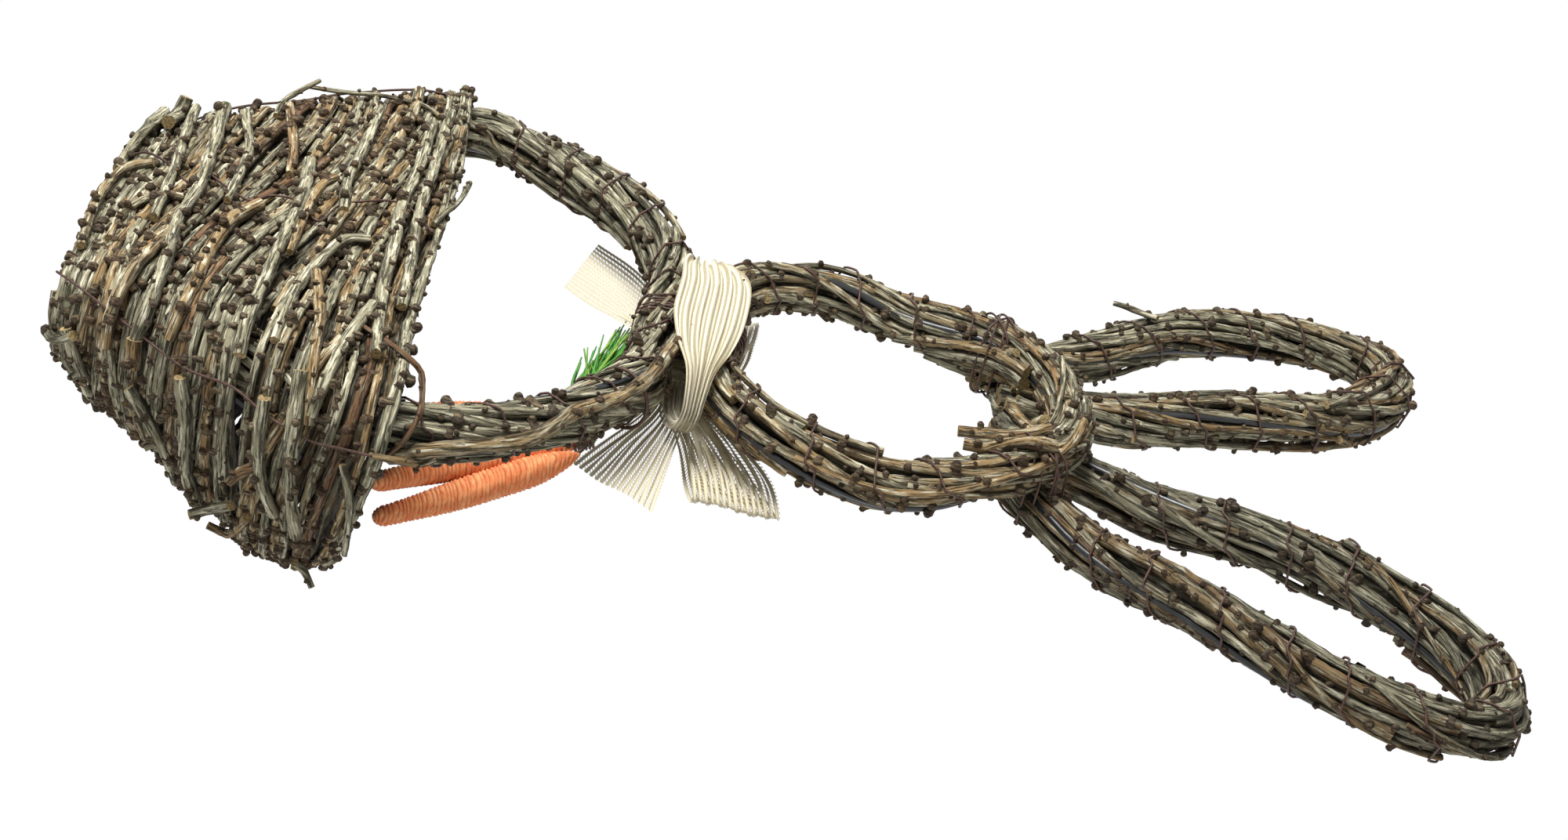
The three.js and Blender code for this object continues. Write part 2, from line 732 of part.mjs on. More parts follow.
// A strip's section: its two faces, with folds that deepen as the strip is gathered
function stripSection(width) {
  const gather = (ribbonWidth - width) / (ribbonWidth - gatherWidth);
  const fold = ribbonThickness * foldShare * gather;
  const face = Array.from({ length: foldPoints }, (unused, k) => [
    width * (k / (foldPoints - 1) - 0.5),
    k % 2 ? fold : -fold,
  ]);
  const front = face.map(([a, b]) => [a, b - ribbonThickness / 2]);
  const back = face.map(([a, b]) => [a, b + ribbonThickness / 2]).reverse();
  return [...front, ...back];
}

// A strip stands on its edge, and its faces are square to its path
function strip(points, widthAt) {
  return skin(points.map((p, j) => {
    const before = points[Math.max(j - 1, 0)];
    const after = points[Math.min(j + 1, points.length - 1)];
    const tangent = after.clone().sub(before).normalize();
    const up = zAxis.clone().addScaledVector(tangent, -tangent.z).normalize();
    const face = new THREE.Vector3().crossVectors(tangent, up);
    return ringAt(p, up, face, stripSection(widthAt(j / (points.length - 1))));
  }));
}

const neckMiddle = (neckHeight + headFoot) / 2;
const foldHalf = ribbonThickness * (foldShare + 0.5);
const layer = 2 * foldHalf + strandGap;
const knotBack = -(Math.max(neckTieHalf + tieRadius, boundNeckRadius) + seatGap);
const wrapY = foldHalf - knotBack;
const tailY = -wrapY - layer;
const loopBackY = tailY - layer;
const loopFrontY = loopBackY - layer;
const knotDepth = knotBack - loopFrontY + foldHalf;
const knotLeft = knotOffset - knotLength / 2;
const knotRight = knotOffset + knotLength / 2;

// The ribbon turns round the neck where the space between the two hoops takes its gathered width
function notchX() {
  const need = bindingPathRadius(1) + bindingRadius + seatGap + gatherWidth / 2;
  const above = shareWhere(head, (p) => p.z > neckMiddle + need);
  let u = 0.5;
  while (body.pointAt(u).z > neckMiddle - need) {
    u -= 1 / (bodySteps * turnSteps);
  }
  return Math.max(body.pointAt(u).x, head.pointAt(above).x);
}

function addWrap() {
  const flat = notchX();
  const reach = flat + wrapY / 2;
  const at = (x, y) => new THREE.Vector3(x, y, neckMiddle);
  const turn = new THREE.CurvePath();
  turn.add(new THREE.LineCurve3(at(knotRight + seatGap, -wrapY), at(flat, -wrapY)));
  turn.add(new THREE.CubicBezierCurve3(at(flat, -wrapY), at(reach, -wrapY), at(reach, wrapY), at(flat, wrapY)));
  turn.add(new THREE.LineCurve3(at(flat, wrapY), at(-flat, wrapY)));
  turn.add(new THREE.CubicBezierCurve3(at(-flat, wrapY), at(-reach, wrapY), at(-reach, -wrapY), at(-flat, -wrapY)));
  turn.add(new THREE.LineCurve3(at(-flat, -wrapY), at(knotLeft - seatGap, -wrapY)));
  const points = samples(wrapSteps, (t) => turn.getPointAt(t));
  const widths = points.map((p) => {
    const spread = p.y > wrapY - seatGap ? 1 - smooth(0, flat, Math.abs(p.x)) : 0;
    return THREE.MathUtils.lerp(gatherWidth, ribbonWidth, spread);
  });
  addPiece('ribbon_wrap', strip(points, (t) => widths[Math.round(t * wrapSteps)]), 'ribbon');
}

// The places of a loop as shares of its reach, its swell and its rise
const loopShares = [
  [0.04, 0, 0],
  [0.35, 0, 0.4],
  [0.75, 0.1, 0.8],
  [0.97, 0.3, 1],
  [0.97, 1, 1],
  [0.7, 1.4, 0.8],
  [0.3, 1, 0.4],
  [0.04, 0, 0],
];
const openRunShares = [0, 0.35];

function addLoop(name, side) {
  const root = (side < 0 ? knotLeft : knotRight) + side * seatGap;
  const at = (reach, y, rise) => new THREE.Vector3(root + side * reach, y, neckMiddle + rise);
  const places = loopShares.map(([along, swell, rise], k) => {
    const y = k < loopShares.length / 2 ? loopBackY : loopFrontY;
    return at(loopReach * along, y - loopSwell * swell, loopRise * rise);
  });
  const path = new THREE.CatmullRomCurve3(places, false, 'centripetal');
  const points = [at(0, loopBackY, 0), ...samples(loopSteps, (t) => path.getPointAt(t)), at(0, loopFrontY, 0)];
  const width = (t) => THREE.MathUtils.lerp(gatherWidth, ribbonWidth, smooth(...openRunShares, Math.min(t, 1 - t)));
  addPiece(`ribbon_loop_${name}`, strip(points, width), 'ribbon');
}

// The places of a tail as shares of its reach, its drop and its way forward
const tailShares = [
  [0.04, 0, 0],
  [0.3, 0.18, 0],
  [0.65, 0.58, 0.45],
  [1, 1, 1],
];
const tailRunShares = [0, 0.6];

function addTail(name, side, drop, forward) {
  const root = (side < 0 ? knotLeft : knotRight) + side * seatGap;
  const at = (reach, y, fall) => new THREE.Vector3(root + side * reach, y, neckMiddle - fall);
  const places = tailShares.map(([along, fall, front]) => at(tailReach * along, tailY - forward * front, drop * fall));
  const path = new THREE.CatmullRomCurve3(places, false, 'centripetal');
  const points = [at(0, tailY, 0), ...samples(tailSteps, (t) => path.getPointAt(t))];
  const width = (t) => THREE.MathUtils.lerp(gatherWidth, ribbonWidth, smooth(...tailRunShares, t));
  addPiece(`ribbon_tail_${name}`, strip(points, width), 'ribbon');
}

// The knot is a drawn-in barrel whose two flat ends meet the gathered strips
const knotSides = 10;
const knotSteps = 4;
const knotEndShare = 0.86;
const knotHeightShare = 0.9;

function addKnot() {
  const rings = samples(knotSteps, (t) => {
    const bulge = THREE.MathUtils.lerp(knotEndShare, 1, Math.sin(Math.PI * t));
    const centre = new THREE.Vector3(knotLeft + knotLength * t, knotBack - knotDepth / 2, neckMiddle);
    return ringAt(centre, yAxis, zAxis, polygon(knotSides, (knotDepth / 2) * bulge, gatherWidth * knotHeightShare * bulge));
  });
  addPiece('ribbon_knot', skin(rings), 'ribbon');
}

addWrap();
addKnot();
addLoop('left', -1);
addLoop('right', 1);
addTail('left', -1, tailDrop, 0);
addTail('right', 1, farTailDrop, farTailForward);

// Hook: an open wire ring round the body hoop's left arm, whose end holds the bunch.
// It sits on top of the twigs where the binding wire passes under them, and hangs clear of that wire.
const ringSteps = 12;
const ringStart = THREE.MathUtils.degToRad(285);
const ringSweep = THREE.MathUtils.degToRad(300);
const ringDrop = 2;
const hookTurns = 1.5;
const boundShare = 1 - 2 * bodyBoundShare;
const turnShare = boundShare / bindingCurls(body, bodyBoundShare, 1 - bodyBoundShare);
const hookPlace = body.frameAt(0.5 + hookTurns * turnShare);
const ringRadius = (bundleRadius + seatGap + ringDrop + hookRadius) / Math.cos(ringSweep / ringSteps / 2);
const collar = hookPlace.point.clone().add(new THREE.Vector3(collarShift, -collarForward, -collarDrop));

function addHook() {
  const { point, out, wall } = hookPlace;
  const middle = point.clone().addScaledVector(out, -ringDrop);
  const points = samples(ringSteps, (t) => {
    const angle = ringStart + ringSweep * t;
    return middle.clone()
      .addScaledVector(out, ringRadius * Math.cos(angle))
      .addScaledVector(wall, ringRadius * Math.sin(angle));
  });
  const away = collar.clone().sub(points[ringSteps]).normalize();
  points.push(collar.clone().addScaledVector(away, -collarRadius - seatGap));
  addPiece('carrot_hook', roundTube(points, hookRadius, twigSides, xAxis), 'wire');
}

// Carrots: a shaped core on a wire stem, with twine wound round it from shoulder to tip
const carrotSides = 8;
const shoulderShare = 0.28;
const tipShare = 0.45;
const roundTipShare = 0.06;
const coreInset = twineThickness + seatGap;
const twineShares = [0.04, 0.93];
const coreShares = [0.015, 0.05, 0.12, 0.2, 0.3, 0.45, 0.6, 0.75, 0.88, 0.95];
const shoulderPower = 0.7;
const taperPower = 0.9;

// Radius of the finished carrot along its length, from the shoulder at 0 to the tip at 1
function carrotProfile(t) {
  const rise = Math.sin((Math.PI / 2) * clamp01(t / shoulderShare)) ** shoulderPower;
  const fall = THREE.MathUtils.lerp(1, tipShare, smooth(shoulderShare, 1, t) ** taperPower);
  const end = Math.sqrt(1 - clamp01((t - 1 + roundTipShare) / roundTipShare) ** 2);
  return carrotRadius * rise * fall * end;
}

function coreProfile(t) {
  return Math.max(carrotProfile(t) - coreInset, stemRadius);
}

const carrots = [
  { name: 'front', leanShares: [-0.19, -0.5, -0.84] },
  { name: 'middle', leanShares: [-0.25, -0.35, -0.9] },
  { name: 'side', leanShares: [0.1, -0.35, -0.92] },
];

function addCarrot({ name, leanShares }, index) {
  const axis = new THREE.Vector3(...leanShares).normalize();
  const fan = new THREE.Vector3((index - 1) * carrotFan, 0, 0);
  const shoulder = collar.clone().add(fan).addScaledVector(axis, collarRadius + stemLength);
  const across = new THREE.Vector3().crossVectors(axis, yAxis).normalize();
  const along = new THREE.Vector3().crossVectors(axis, across);
  const placeAt = (t) => shoulder.clone().addScaledVector(axis, carrotLength * t);
  const ring = (centre, radius) => ringAt(centre, across, along, polygon(carrotSides, radius));
  const stemFoot = placeAt(0);
  const stemWay = collar.clone().sub(stemFoot).normalize();
  const stemHead = collar.clone().addScaledVector(stemWay, -collarRadius - strandGap);
  const stem = [ring(stemHead, stemRadius), ring(stemFoot, stemRadius)];
  const rings = coreShares.map((t) => ring(placeAt(t), coreProfile(t)));
  addPiece(`carrot_${name}_core`, skin([...stem, ...rings]), 'carrot');

  const points = samples(twineLoops * curlSteps, (t) => {
    const share = THREE.MathUtils.lerp(...twineShares, t);
    const angle = TAU * twineLoops * t;
    const reach = (twineSeat(share) + seatGap + twineThickness / 2) * curlWiden;
    return placeAt(share).addScaledVector(across, reach * Math.cos(angle)).addScaledVector(along, reach * Math.sin(angle));
  });
  addPiece(`carrot_${name}_twine`, twineTube(points, axis, twineWidth), 'carrot');
  reportGap(`carrot_${name}_twine`, points, curlSteps, twineWidth);
}

// Twine lies flat on the core and is rounded to a ridge outside
const twinePitch = (carrotLength * (twineShares[1] - twineShares[0])) / twineLoops;
const twineWidth = twinePitch - windingGap - strandGap;

// The core's largest radius under the width of the twine
function twineSeat(share) {
  const half = twineWidth / 2 / carrotLength;
  return Math.max(coreProfile(share - half), coreProfile(share), coreProfile(share + half));
}

function twineTube(points, axis, width) {
  const half = twineThickness / 2;
  const section = [[-width / 2, -half], [width / 2, -half], [0, half]];
  return skin(points.map((p, j) => {
    const before = points[Math.max(j - 1, 0)];
    const after = points[Math.min(j + 1, points.length - 1)];
    const tangent = after.clone().sub(before).normalize();
    const out = new THREE.Vector3().crossVectors(tangent, axis).normalize();
    return ringAt(p, new THREE.Vector3().crossVectors(out, tangent), out, section);
  }));
}

// Greens: grass blades that fan out of a round collar
const collarSides = 12;
const bladeSteps = 2;
const bladeSides = 3;
const goldenShare = 0.382;
const headingShares = { x: 0.78, y: -0.34, z: 0.22 };
const spreadShares = { x: 0.42, y: -0.28, z: 0.54 };
const bladeTipShare = 0.3;
const bladeSagShare = 0.12;
const bladeRootShare = 0.4;
const shortShare = 0.4;

function bladeHeading(k) {
  const share = (k + 0.5) / bladeCount;
  const turn = TAU * goldenShare * k;
  return new THREE.Vector3(
    headingShares.x + spreadShares.x * share * Math.cos(turn),
    headingShares.y + spreadShares.y * share,
    headingShares.z + spreadShares.z * share * Math.sin(turn),
  ).normalize();
}

function addGreens() {
  const ball = new THREE.SphereGeometry(collarRadius, collarSides, collarSides / 2);
  ball.translate(collar.x, collar.y, collar.z);
  let solid = toSolid(ball);
  for (let k = 0; k < bladeCount; k += 1) {
    const heading = bladeHeading(k);
    const length = bladeLength * (1 - shortShare * Math.sin(TAU * goldenShare * k) ** 2);
    const points = samples(bladeSteps, (t) => collar.clone()
      .addScaledVector(heading, collarRadius * bladeRootShare + length * t)
      .addScaledVector(zAxis, -length * bladeSagShare * t * t));
    const thickness = (t) => bladeRadius * (1 - (1 - bladeTipShare) * t);
    solid = solid.add(toSolid(tube(points, yAxis, (t) => polygon(bladeSides, thickness(t), thickness(t), k))));
  }
  addPiece('carrot_greens', toGeometry(solid), 'greens');
}

addHook();
carrots.forEach(addCarrot);
addGreens();

// The hook on the wall carries the head hoop under its top
const hangPoint = new THREE.Vector3(0, headLeanAt(headTop), headTop - bundleRadius * crossScale);
placed.position.copy(hangPoint).negate();

export default part;
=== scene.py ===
"""Looks of a hanging wall basket of bound twigs, laid out as an add-on and run as a script.

Shapes are worked out in millimetres from the middle of the body hoop, with X to the right,
Y to the wall and Z up, and are turned into metres from the wall hook when a mesh is made.
"""

import math

import bpy
import numpy as np
from bpy.props import FloatProperty, FloatVectorProperty, IntProperty, PointerProperty
from mathutils import Matrix, Vector
from mathutils.bvhtree import BVHTree


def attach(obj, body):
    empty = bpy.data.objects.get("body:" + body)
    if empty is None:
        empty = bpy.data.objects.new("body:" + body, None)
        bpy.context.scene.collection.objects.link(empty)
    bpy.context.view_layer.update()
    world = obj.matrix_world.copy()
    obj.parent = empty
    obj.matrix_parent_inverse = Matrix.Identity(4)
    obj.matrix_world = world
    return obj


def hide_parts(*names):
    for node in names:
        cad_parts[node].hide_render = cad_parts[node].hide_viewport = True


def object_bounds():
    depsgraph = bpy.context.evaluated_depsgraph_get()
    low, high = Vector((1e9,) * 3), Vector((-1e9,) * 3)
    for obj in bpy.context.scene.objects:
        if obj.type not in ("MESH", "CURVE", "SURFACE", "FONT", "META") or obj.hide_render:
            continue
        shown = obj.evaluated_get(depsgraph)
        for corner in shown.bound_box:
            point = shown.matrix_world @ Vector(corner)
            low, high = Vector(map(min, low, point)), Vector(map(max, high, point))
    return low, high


bl_info = {
    "name": "Hanging wall basket",
    "version": (1, 0, 0),
    "blender": (4, 5, 0),
    "location": "3D View > Sidebar > Wall basket",
    "description": "Bound twig wall basket with a ribbon bow and a bunch of twine carrots",
    "category": "Object",
}

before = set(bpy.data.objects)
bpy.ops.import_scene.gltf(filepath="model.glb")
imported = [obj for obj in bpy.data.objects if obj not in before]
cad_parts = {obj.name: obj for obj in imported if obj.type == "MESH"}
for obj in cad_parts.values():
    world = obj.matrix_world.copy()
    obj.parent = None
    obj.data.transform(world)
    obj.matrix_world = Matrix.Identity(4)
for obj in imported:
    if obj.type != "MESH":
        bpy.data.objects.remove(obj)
CAD_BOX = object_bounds()

TAU = 2 * math.pi
MM = 0.001
X, Y, Z = np.eye(3)

# Sizes that the solids share with this file, in millimetres and radians; SOLID_TWIGS counts the
# twigs that a bundle has as solids, and STRAND_GAP is the clear gap between strands
HANG = np.array([0.0, 7.5, 302.358])
BUNDLE = 11.2
BODY_RADIUS = 140.0
NECK_Z = 130.0
MOUTH_Z = 26.0
FLOOR_Z = -107.5
WINDING = 4.1
STRAND_GAP = 0.3
SOLID_TWIGS = 5
CORNER_WIDEN = 1 / math.cos(math.pi / 12)
POCKET_LEAN = 16.0
POCKET_LEFT_HALF = 89.0
POCKET_RIGHT_HALF = 66.0
POCKET_DEPTH = 140.0
POCKET_BOTTOM_DEPTH = 57.0
BACK_SLOPE = math.atan2(2 * POCKET_LEAN, MOUTH_Z - FLOOR_Z)
POCKET_BACK = (BUNDLE / math.cos(BACK_SLOPE) + WINDING) * CORNER_WIDEN + STRAND_GAP
HEAD_FOOT = 156.1
HEAD_HEIGHT = 155.0
HEAD_HALF = 76.0
HEAD_LEAN = 7.5
# Each ear: its side, half length and half width, how far its middle is out and up from the top
# of the head hoop, and its tilt
EARS = {
    "ear_left": (-1, 123.0, 36.5, 74.5, 68.5, math.radians(29.5)),
    "ear_right": (1, 116.0, 33.5, 83.0, 55.5, math.radians(27.3)),
}
NECK_MIDDLE = 143.05

# The photograph: its size, its lens in pixels, and the camera's place and directions
PHOTO = (2000, 1072)
FOCAL = 3494.2
CAMERA_AT = np.array([-1031.4, 562.5, 125.9])
CAMERA_RIGHT = np.array([0.082, 0.251, 0.965])
CAMERA_DOWN = np.array([-0.493, -0.831, 0.258])
CAMERA_AHEAD = np.array([0.866, -0.497, 0.056])
SENSOR_MM = 36.0
# Distances along a pixel's ray that are tried for a place beside the basket
RAY_REACHES = np.arange(950.0, 1420.0, 6.0)

# How finely things are made, in millimetres or as counts
HALF_STEPS = 400
TWIG_STEP = 3.2
KNOB_SIDES = 6
KNOB_HEIGHTS = np.array([-0.5, 0.3, 0.9, 1.3])
KNOB_WIDTHS = np.array([1.2, 0.85, 0.92, 0.55])
KNOB_TOP = 1.42
# The angle to each side of the outward way within which spurs grow
KNOB_FAN = 1.4

# A bundle: twigs in its ring and in its heart, and how much further apart its spurs are
RING_TWIGS = 14
HEART_TWIGS = 5
HOOP_KNOB_STEP = 1.6
# An ear's tie: how far each set of loops is turned, and how many loops it has
EAR_TIE_LOOPS = ((0.0, 2), (0.6, 2), (-0.5, 1))

# The ribbon: folds across it, the share of its gaps that is open where it lies on something,
# and the metres from one cross thread to the next
RIBBON_FOLDS = 6
CLOSE_WEAVE = 0.3
THREAD_PITCH = 0.0021

# Lamps: the way to each in the picture (right, down, deeper), its distance and width in metres,
# and its power
LAMPS = (
    ("key", (-0.1, -0.95, -0.5), 1.7, 0.9, 50),
    ("fill", (0, 1.1, -0.6), 1.9, 1.2, 12),
    ("back", (0, -0.5, 0.9), 1.9, 1.2, 10),
)
LAMP_AIM = np.array([0, 0, -0.12])
WORLD_LIGHT = 0.34
FLOOR_DROP, FLOOR_RADIUS, FLOOR_SIDES = 0.45, 0.9, 64


def srgb(red, green, blue):
    """A colour as seen on a screen, 0 to 255, as the linear colour that Blender takes."""
    shares = [c / 255 for c in (red, green, blue)]
    return tuple(c / 12.92 if c <= 0.04045 else ((c + 0.055) / 1.055) ** 2.4 for c in shares)


def length_prop(name, text, value):
    return FloatProperty(
        name=name, description=text, default=value, unit="LENGTH", min=0, precision=4
    )


def colour_prop(name, text, *value):
    return FloatVectorProperty(
        name=name, description=text, default=srgb(*value), subtype="COLOR", min=0, max=1
    )


class BasketSizes(bpy.types.PropertyGroup):
    """Sizes of the pieces that a user may change."""

    hoop_twig: length_prop("Hoop twig radius", "Radius of the twigs in the hoops", 0.0021)
    pocket_twig: length_prop("Pocket twig radius", "Radius of the twigs in the pocket", 0.0019)
    row_pitch: length_prop("Row pitch", "Height of one row of the pocket's twigs", 0.0046)
    knob: length_prop("Knob size", "Radius of the short spurs on the twigs", 0.0018)
    knob_step: length_prop("Knob spacing", "Length of twig from one spur to the next", 0.0085)
    binding: length_prop("Binding radius", "Radius of the rusty binding wire", 0.00055)
    binding_pitch: length_prop("Binding pitch", "Length of one turn of the binding wire", 0.028)
    core: length_prop("Frame wire radius", "Radius of the black frame wires", 0.0019)
    ribbon: length_prop("Ribbon width", "Width of the ribbon", 0.038)
    twine_pitch: length_prop("Twine pitch", "Width of one turn of the carrots' twine", 0.0019)
    cords: IntProperty(
        name="Ribbon cords", description="Cords across the ribbon", default=15, min=3
    )
    blades: IntProperty(
        name="Grass blades", description="Blades in the greens", default=170, min=10
    )


class BasketColours(bpy.types.PropertyGroup):
    """Colours of the finishes that a user may change."""

    bark_grey: colour_prop("Grey bark", "Lit side of weathered bark", 142, 136, 110)
    bark_tan: colour_prop("Tan bark", "Bark of fresher twigs", 146, 120, 80)
    bark_brown: colour_prop("Brown bark", "Bark of the reddest twigs", 110, 80, 55)
    crevice: colour_prop("Crevice", "Cracks along the bark", 34, 29, 23)
    lichen: colour_prop("Pale bark", "Pale flakes on the bark", 220, 214, 186)
    knob: colour_prop("Spur", "Short dark spurs", 58, 44, 34)
    cut_wood: colour_prop("Cut wood", "Cut ends of the twigs", 168, 146, 102)
    rust: colour_prop("Rusty wire", "Binding wire", 84, 60, 50)
    black: colour_prop("Black wire", "Coating of the frame wires", 28, 29, 30)
    ribbon: colour_prop("Ribbon", "Cords of the ribbon", 238, 232, 206)
    # The ribbon shade is the threads' own colour, and also painted shade in the grooves between the
    # cords and on the loops and tails
    ribbon_shade: colour_prop("Ribbon shade", "Fine threads between the cords", 196, 182, 146)
    carrot: colour_prop("Carrot twine", "Twine of the carrots", 226, 118, 58)
    carrot_pale: colour_prop("Pale twine", "Worn fibres of the twine", 252, 184, 122)
    leaf: colour_prop("Grass", "Most blades of the greens", 72, 142, 50)
    leaf_pale: colour_prop("Pale grass", "Yellow-green blades", 156, 188, 72)
    floor: colour_prop("Floor", "Floor of the studio", 245, 245, 245)


def sizes():
    return bpy.context.scene.basket_sizes


def colours():
    return bpy.context.scene.basket_colours


# Paths


def unit(v):
    return v / np.maximum(np.linalg.norm(v, axis=-1, keepdims=True), 1e-9)


def smooth(low, high, value):
    """0 below low, 1 above high and smooth between."""
    t = np.clip((value - low) / (high - low), 0, 1)
    return t * t * (3 - 2 * t)


def bell(value, middle, wide):
    """1 at the middle, falling away smoothly on both sides of it."""
    return np.exp(-(((value - middle) / wide) ** 2))


def turned(first, second, angle):
    """The way at an angle from the first way towards the second."""
    return first * np.cos(angle)[..., None] + second * np.sin(angle)[..., None]


def gaps_along(line):
    return np.linalg.norm(np.diff(line, axis=0), axis=1)


def run_along(line):
    """The length of a line from its first point to each of its points."""
    return np.concatenate([[0], np.cumsum(gaps_along(line))])


def evenly(line, step, *others):
    """A line of points again, about step apart, with other rows of values carried along."""
    run = run_along(line)
    at = np.linspace(0, run[-1], max(3, int(round(run[-1] / step)) + 1))
    return [
        np.stack([np.interp(at, run, rows[:, k]) for k in range(rows.shape[1])], 1)
        for rows in (line, *others)
    ]


def bezier(points, steps=24):
    """Points of a Bezier curve, without its last point."""
    t = np.linspace(0, 1, steps, endpoint=False)[:, None]
    rows = [np.repeat(np.array(p, float)[None], steps, 0) for p in points]
    while len(rows) > 1:
        rows = [a + (b - a) * t for a, b in zip(rows, rows[1:])]
    return rows[0]


def through(points, steps):
    """A smooth line through some points, evenly spaced."""
    p = np.array(points, float)
    if len(p) < 2:
        raise ValueError("a line needs two places")
    p = np.vstack([2 * p[0] - p[1], p, 2 * p[-1] - p[-2]])
    t = np.linspace(0, 1, 16, endpoint=False)[:, None]
    parts = []
    for a, b, c, d in zip(p, p[1:], p[2:], p[3:]):
        curve = (2 * a - 5 * b + 4 * c - d) * t**2 + (3 * b - a - 3 * c + d) * t**3
        parts.append(0.5 * (2 * b + (c - a) * t + curve))
    line = np.vstack(parts + [p[-2][None]])
    return evenly(line, gaps_along(line).sum() / steps)[0]


class Hoop:
    """The middle line of a bundle, with the ways out of the hoop and to the wall."""

    NUDGE = 0.004

    def __init__(self, points, closed, scale_at):
        run = run_along(points)
        self.points, self.closed, self.scale_at = points, closed, scale_at
        self.length = run[-1]
        self.share = np.linspace(0, 1, len(points)) if closed else run / run[-1]

    def scale(self, u):
        """The bundle's width at a share of the way round, where 1 is its full width."""
        return self.scale_at(np.mod(u, 1) if self.closed else u)

    def place(self, u):
        w = np.mod(u, 1) if self.closed else np.clip(u, 0, 1)
        return np.stack([np.interp(w, self.share, self.points[:, k]) for k in range(3)], -1)

    def frame(self, u):
        tangent = unit(self.place(u + self.NUDGE) - self.place(u - self.NUDGE))
        wall = unit(Y - tangent * tangent[..., 1:2])
        return self.place(u), np.cross(wall, tangent), wall

    def round(self, u, reach, angle):
        """Points beside the middle line, at a reach and an angle from the way out."""
        point, out, wall = self.frame(u)
        way = turned(out, wall, angle)
        return point + (reach * self.scale(u))[..., None] * way, way


def pocket_share(z):
    """0 at the pocket's mouth and 1 at its floor."""
    return (MOUTH_Z - z) / (MOUTH_Z - FLOOR_Z)


def pocket_side(bottom_half):
    """The slope of a side of the pocket, the hoop's distance from it, and its half width on top."""
    mouth_x = math.sqrt(BODY_RADIUS**2 - MOUTH_Z**2)
    slope = math.atan2(mouth_x + POCKET_BACK - bottom_half, MOUTH_Z - FLOOR_Z)
    bundle = BUNDLE / math.cos(slope) / math.cos(BACK_SLOPE)
    clear = (bundle + WINDING) * CORNER_WIDEN + STRAND_GAP
    return bottom_half, math.tan(slope), clear, mouth_x + clear


LEFT_SIDE, RIGHT_SIDE = pocket_side(POCKET_LEFT_HALF), pocket_side(POCKET_RIGHT_HALF)


def pocket_half(z, side):
    return side[3] + (side[0] - side[3]) * pocket_share(z)


def hoop_side(z, side):
    return pocket_half(z, side) - side[2]


def pocket_lean(z):
    """How far the pocket and the hoop's arms in it stand forward at a height."""
    return -POCKET_LEAN * np.clip(pocket_share(z), 0, 1) ** 2


def body_half(side):
    """One half of the body hoop, from the pocket's floor up the arm and the arc to the neck."""
    floor = FLOOR_Z + WINDING + STRAND_GAP + BUNDLE
    run = 3 * BUNDLE
    start, end = math.radians(14), math.radians(62)
    foot = np.array([hoop_side(floor, side), floor])
    side_start = np.array([hoop_side(floor + run, side), floor + run])
    arc_foot = BODY_RADIUS * np.array([math.cos(start), math.sin(start)])
    dx, dz = math.sin(start), -math.cos(start)
    back = (hoop_side(arc_foot[1], side) - arc_foot[0]) / (dx - dz * side[1])
    bend = arc_foot + back * np.array([dx, dz])
    side_end = np.array([hoop_side(bend[1] - run, side), bend[1] - run])
    head = BODY_RADIUS * np.array([math.cos(end), math.sin(end)])
    lead = head + 0.25 * head[0] * np.array([-math.sin(end), math.cos(end)])
    turn = np.linspace(start, end, 40, endpoint=False)[:, None]
    return np.vstack([
        bezier([(0, floor), (foot[0] - run, floor)]),
        bezier([(foot[0] - run, floor), foot, side_start]),
        bezier([side_start, side_end]),
        bezier([side_end, bend, arc_foot]),
        BODY_RADIUS * np.hstack([np.cos(turn), np.sin(turn)]),
        bezier([head, lead, (head[0] * 0.7, NECK_Z), (0, NECK_Z)]),
        [(0, NECK_Z)],
    ])


def both_halves(right, left, lean, scale_at):
    """A hoop whose right half runs up and whose left half runs back down."""
    halves = [
        evenly(half, gaps_along(half).sum() / HALF_STEPS)[0]
        for half in (right, left[::-1] * [-1, 1])
    ]
    flat = np.vstack([halves[0], halves[1][1:]])
    points = np.stack([flat[:, 0], lean(flat[:, 1]), flat[:, 1]], 1)
    return Hoop(points, True, scale_at)


def body_hoop():
    """The body hoop, whose bundle is squeezed under the neck tie."""
    squeeze = lambda u: 1 - 0.12 * (1 - smooth(0.03, 0.09, np.abs(u - 0.5)))
    return both_halves(body_half(RIGHT_SIDE), body_half(LEFT_SIDE), pocket_lean, squeeze)


def head_hoop():
    """The head hoop, squeezed at the neck and where the ears cross behind it."""
    top, middle = HEAD_FOOT + HEAD_HEIGHT, HEAD_FOOT + 0.45 * HEAD_HEIGHT
    reach = 0.3 * HEAD_HALF
    between = lambda a, b: a + 0.56 * (b - a)
    side = (HEAD_HALF, middle)
    half = np.vstack([
        bezier([(0, HEAD_FOOT), (reach, HEAD_FOOT)]),
        bezier([
            (reach, HEAD_FOOT), (between(reach, HEAD_HALF), HEAD_FOOT),
            (HEAD_HALF, between(middle, HEAD_FOOT)), side,
        ], 40),
        bezier([side, (HEAD_HALF, between(middle, top)), (0.56 * HEAD_HALF, top), (0, top)], 40),
        [(0, top)],
    ])

    def squeeze(u):
        at_cross = 0.22 * (1 - smooth(0.15, 0.2, np.abs(u - 0.5)))
        return 1 - at_cross - 0.12 * (1 - smooth(0.05, 0.12, np.minimum(u, 1 - u)))

    def lean(z):
        k = (z - HEAD_FOOT) / HEAD_HEIGHT
        return HEAD_LEAN * smooth(0.45, 0.85, k) - 3.5 * bell(k, 0.5, 0.22)

    flatter = 5.5 * bell(half[:, 1], HEAD_FOOT + 95, 32)
    return both_halves(half - np.stack([flatter, 0 * flatter], 1), half, lean, squeeze)


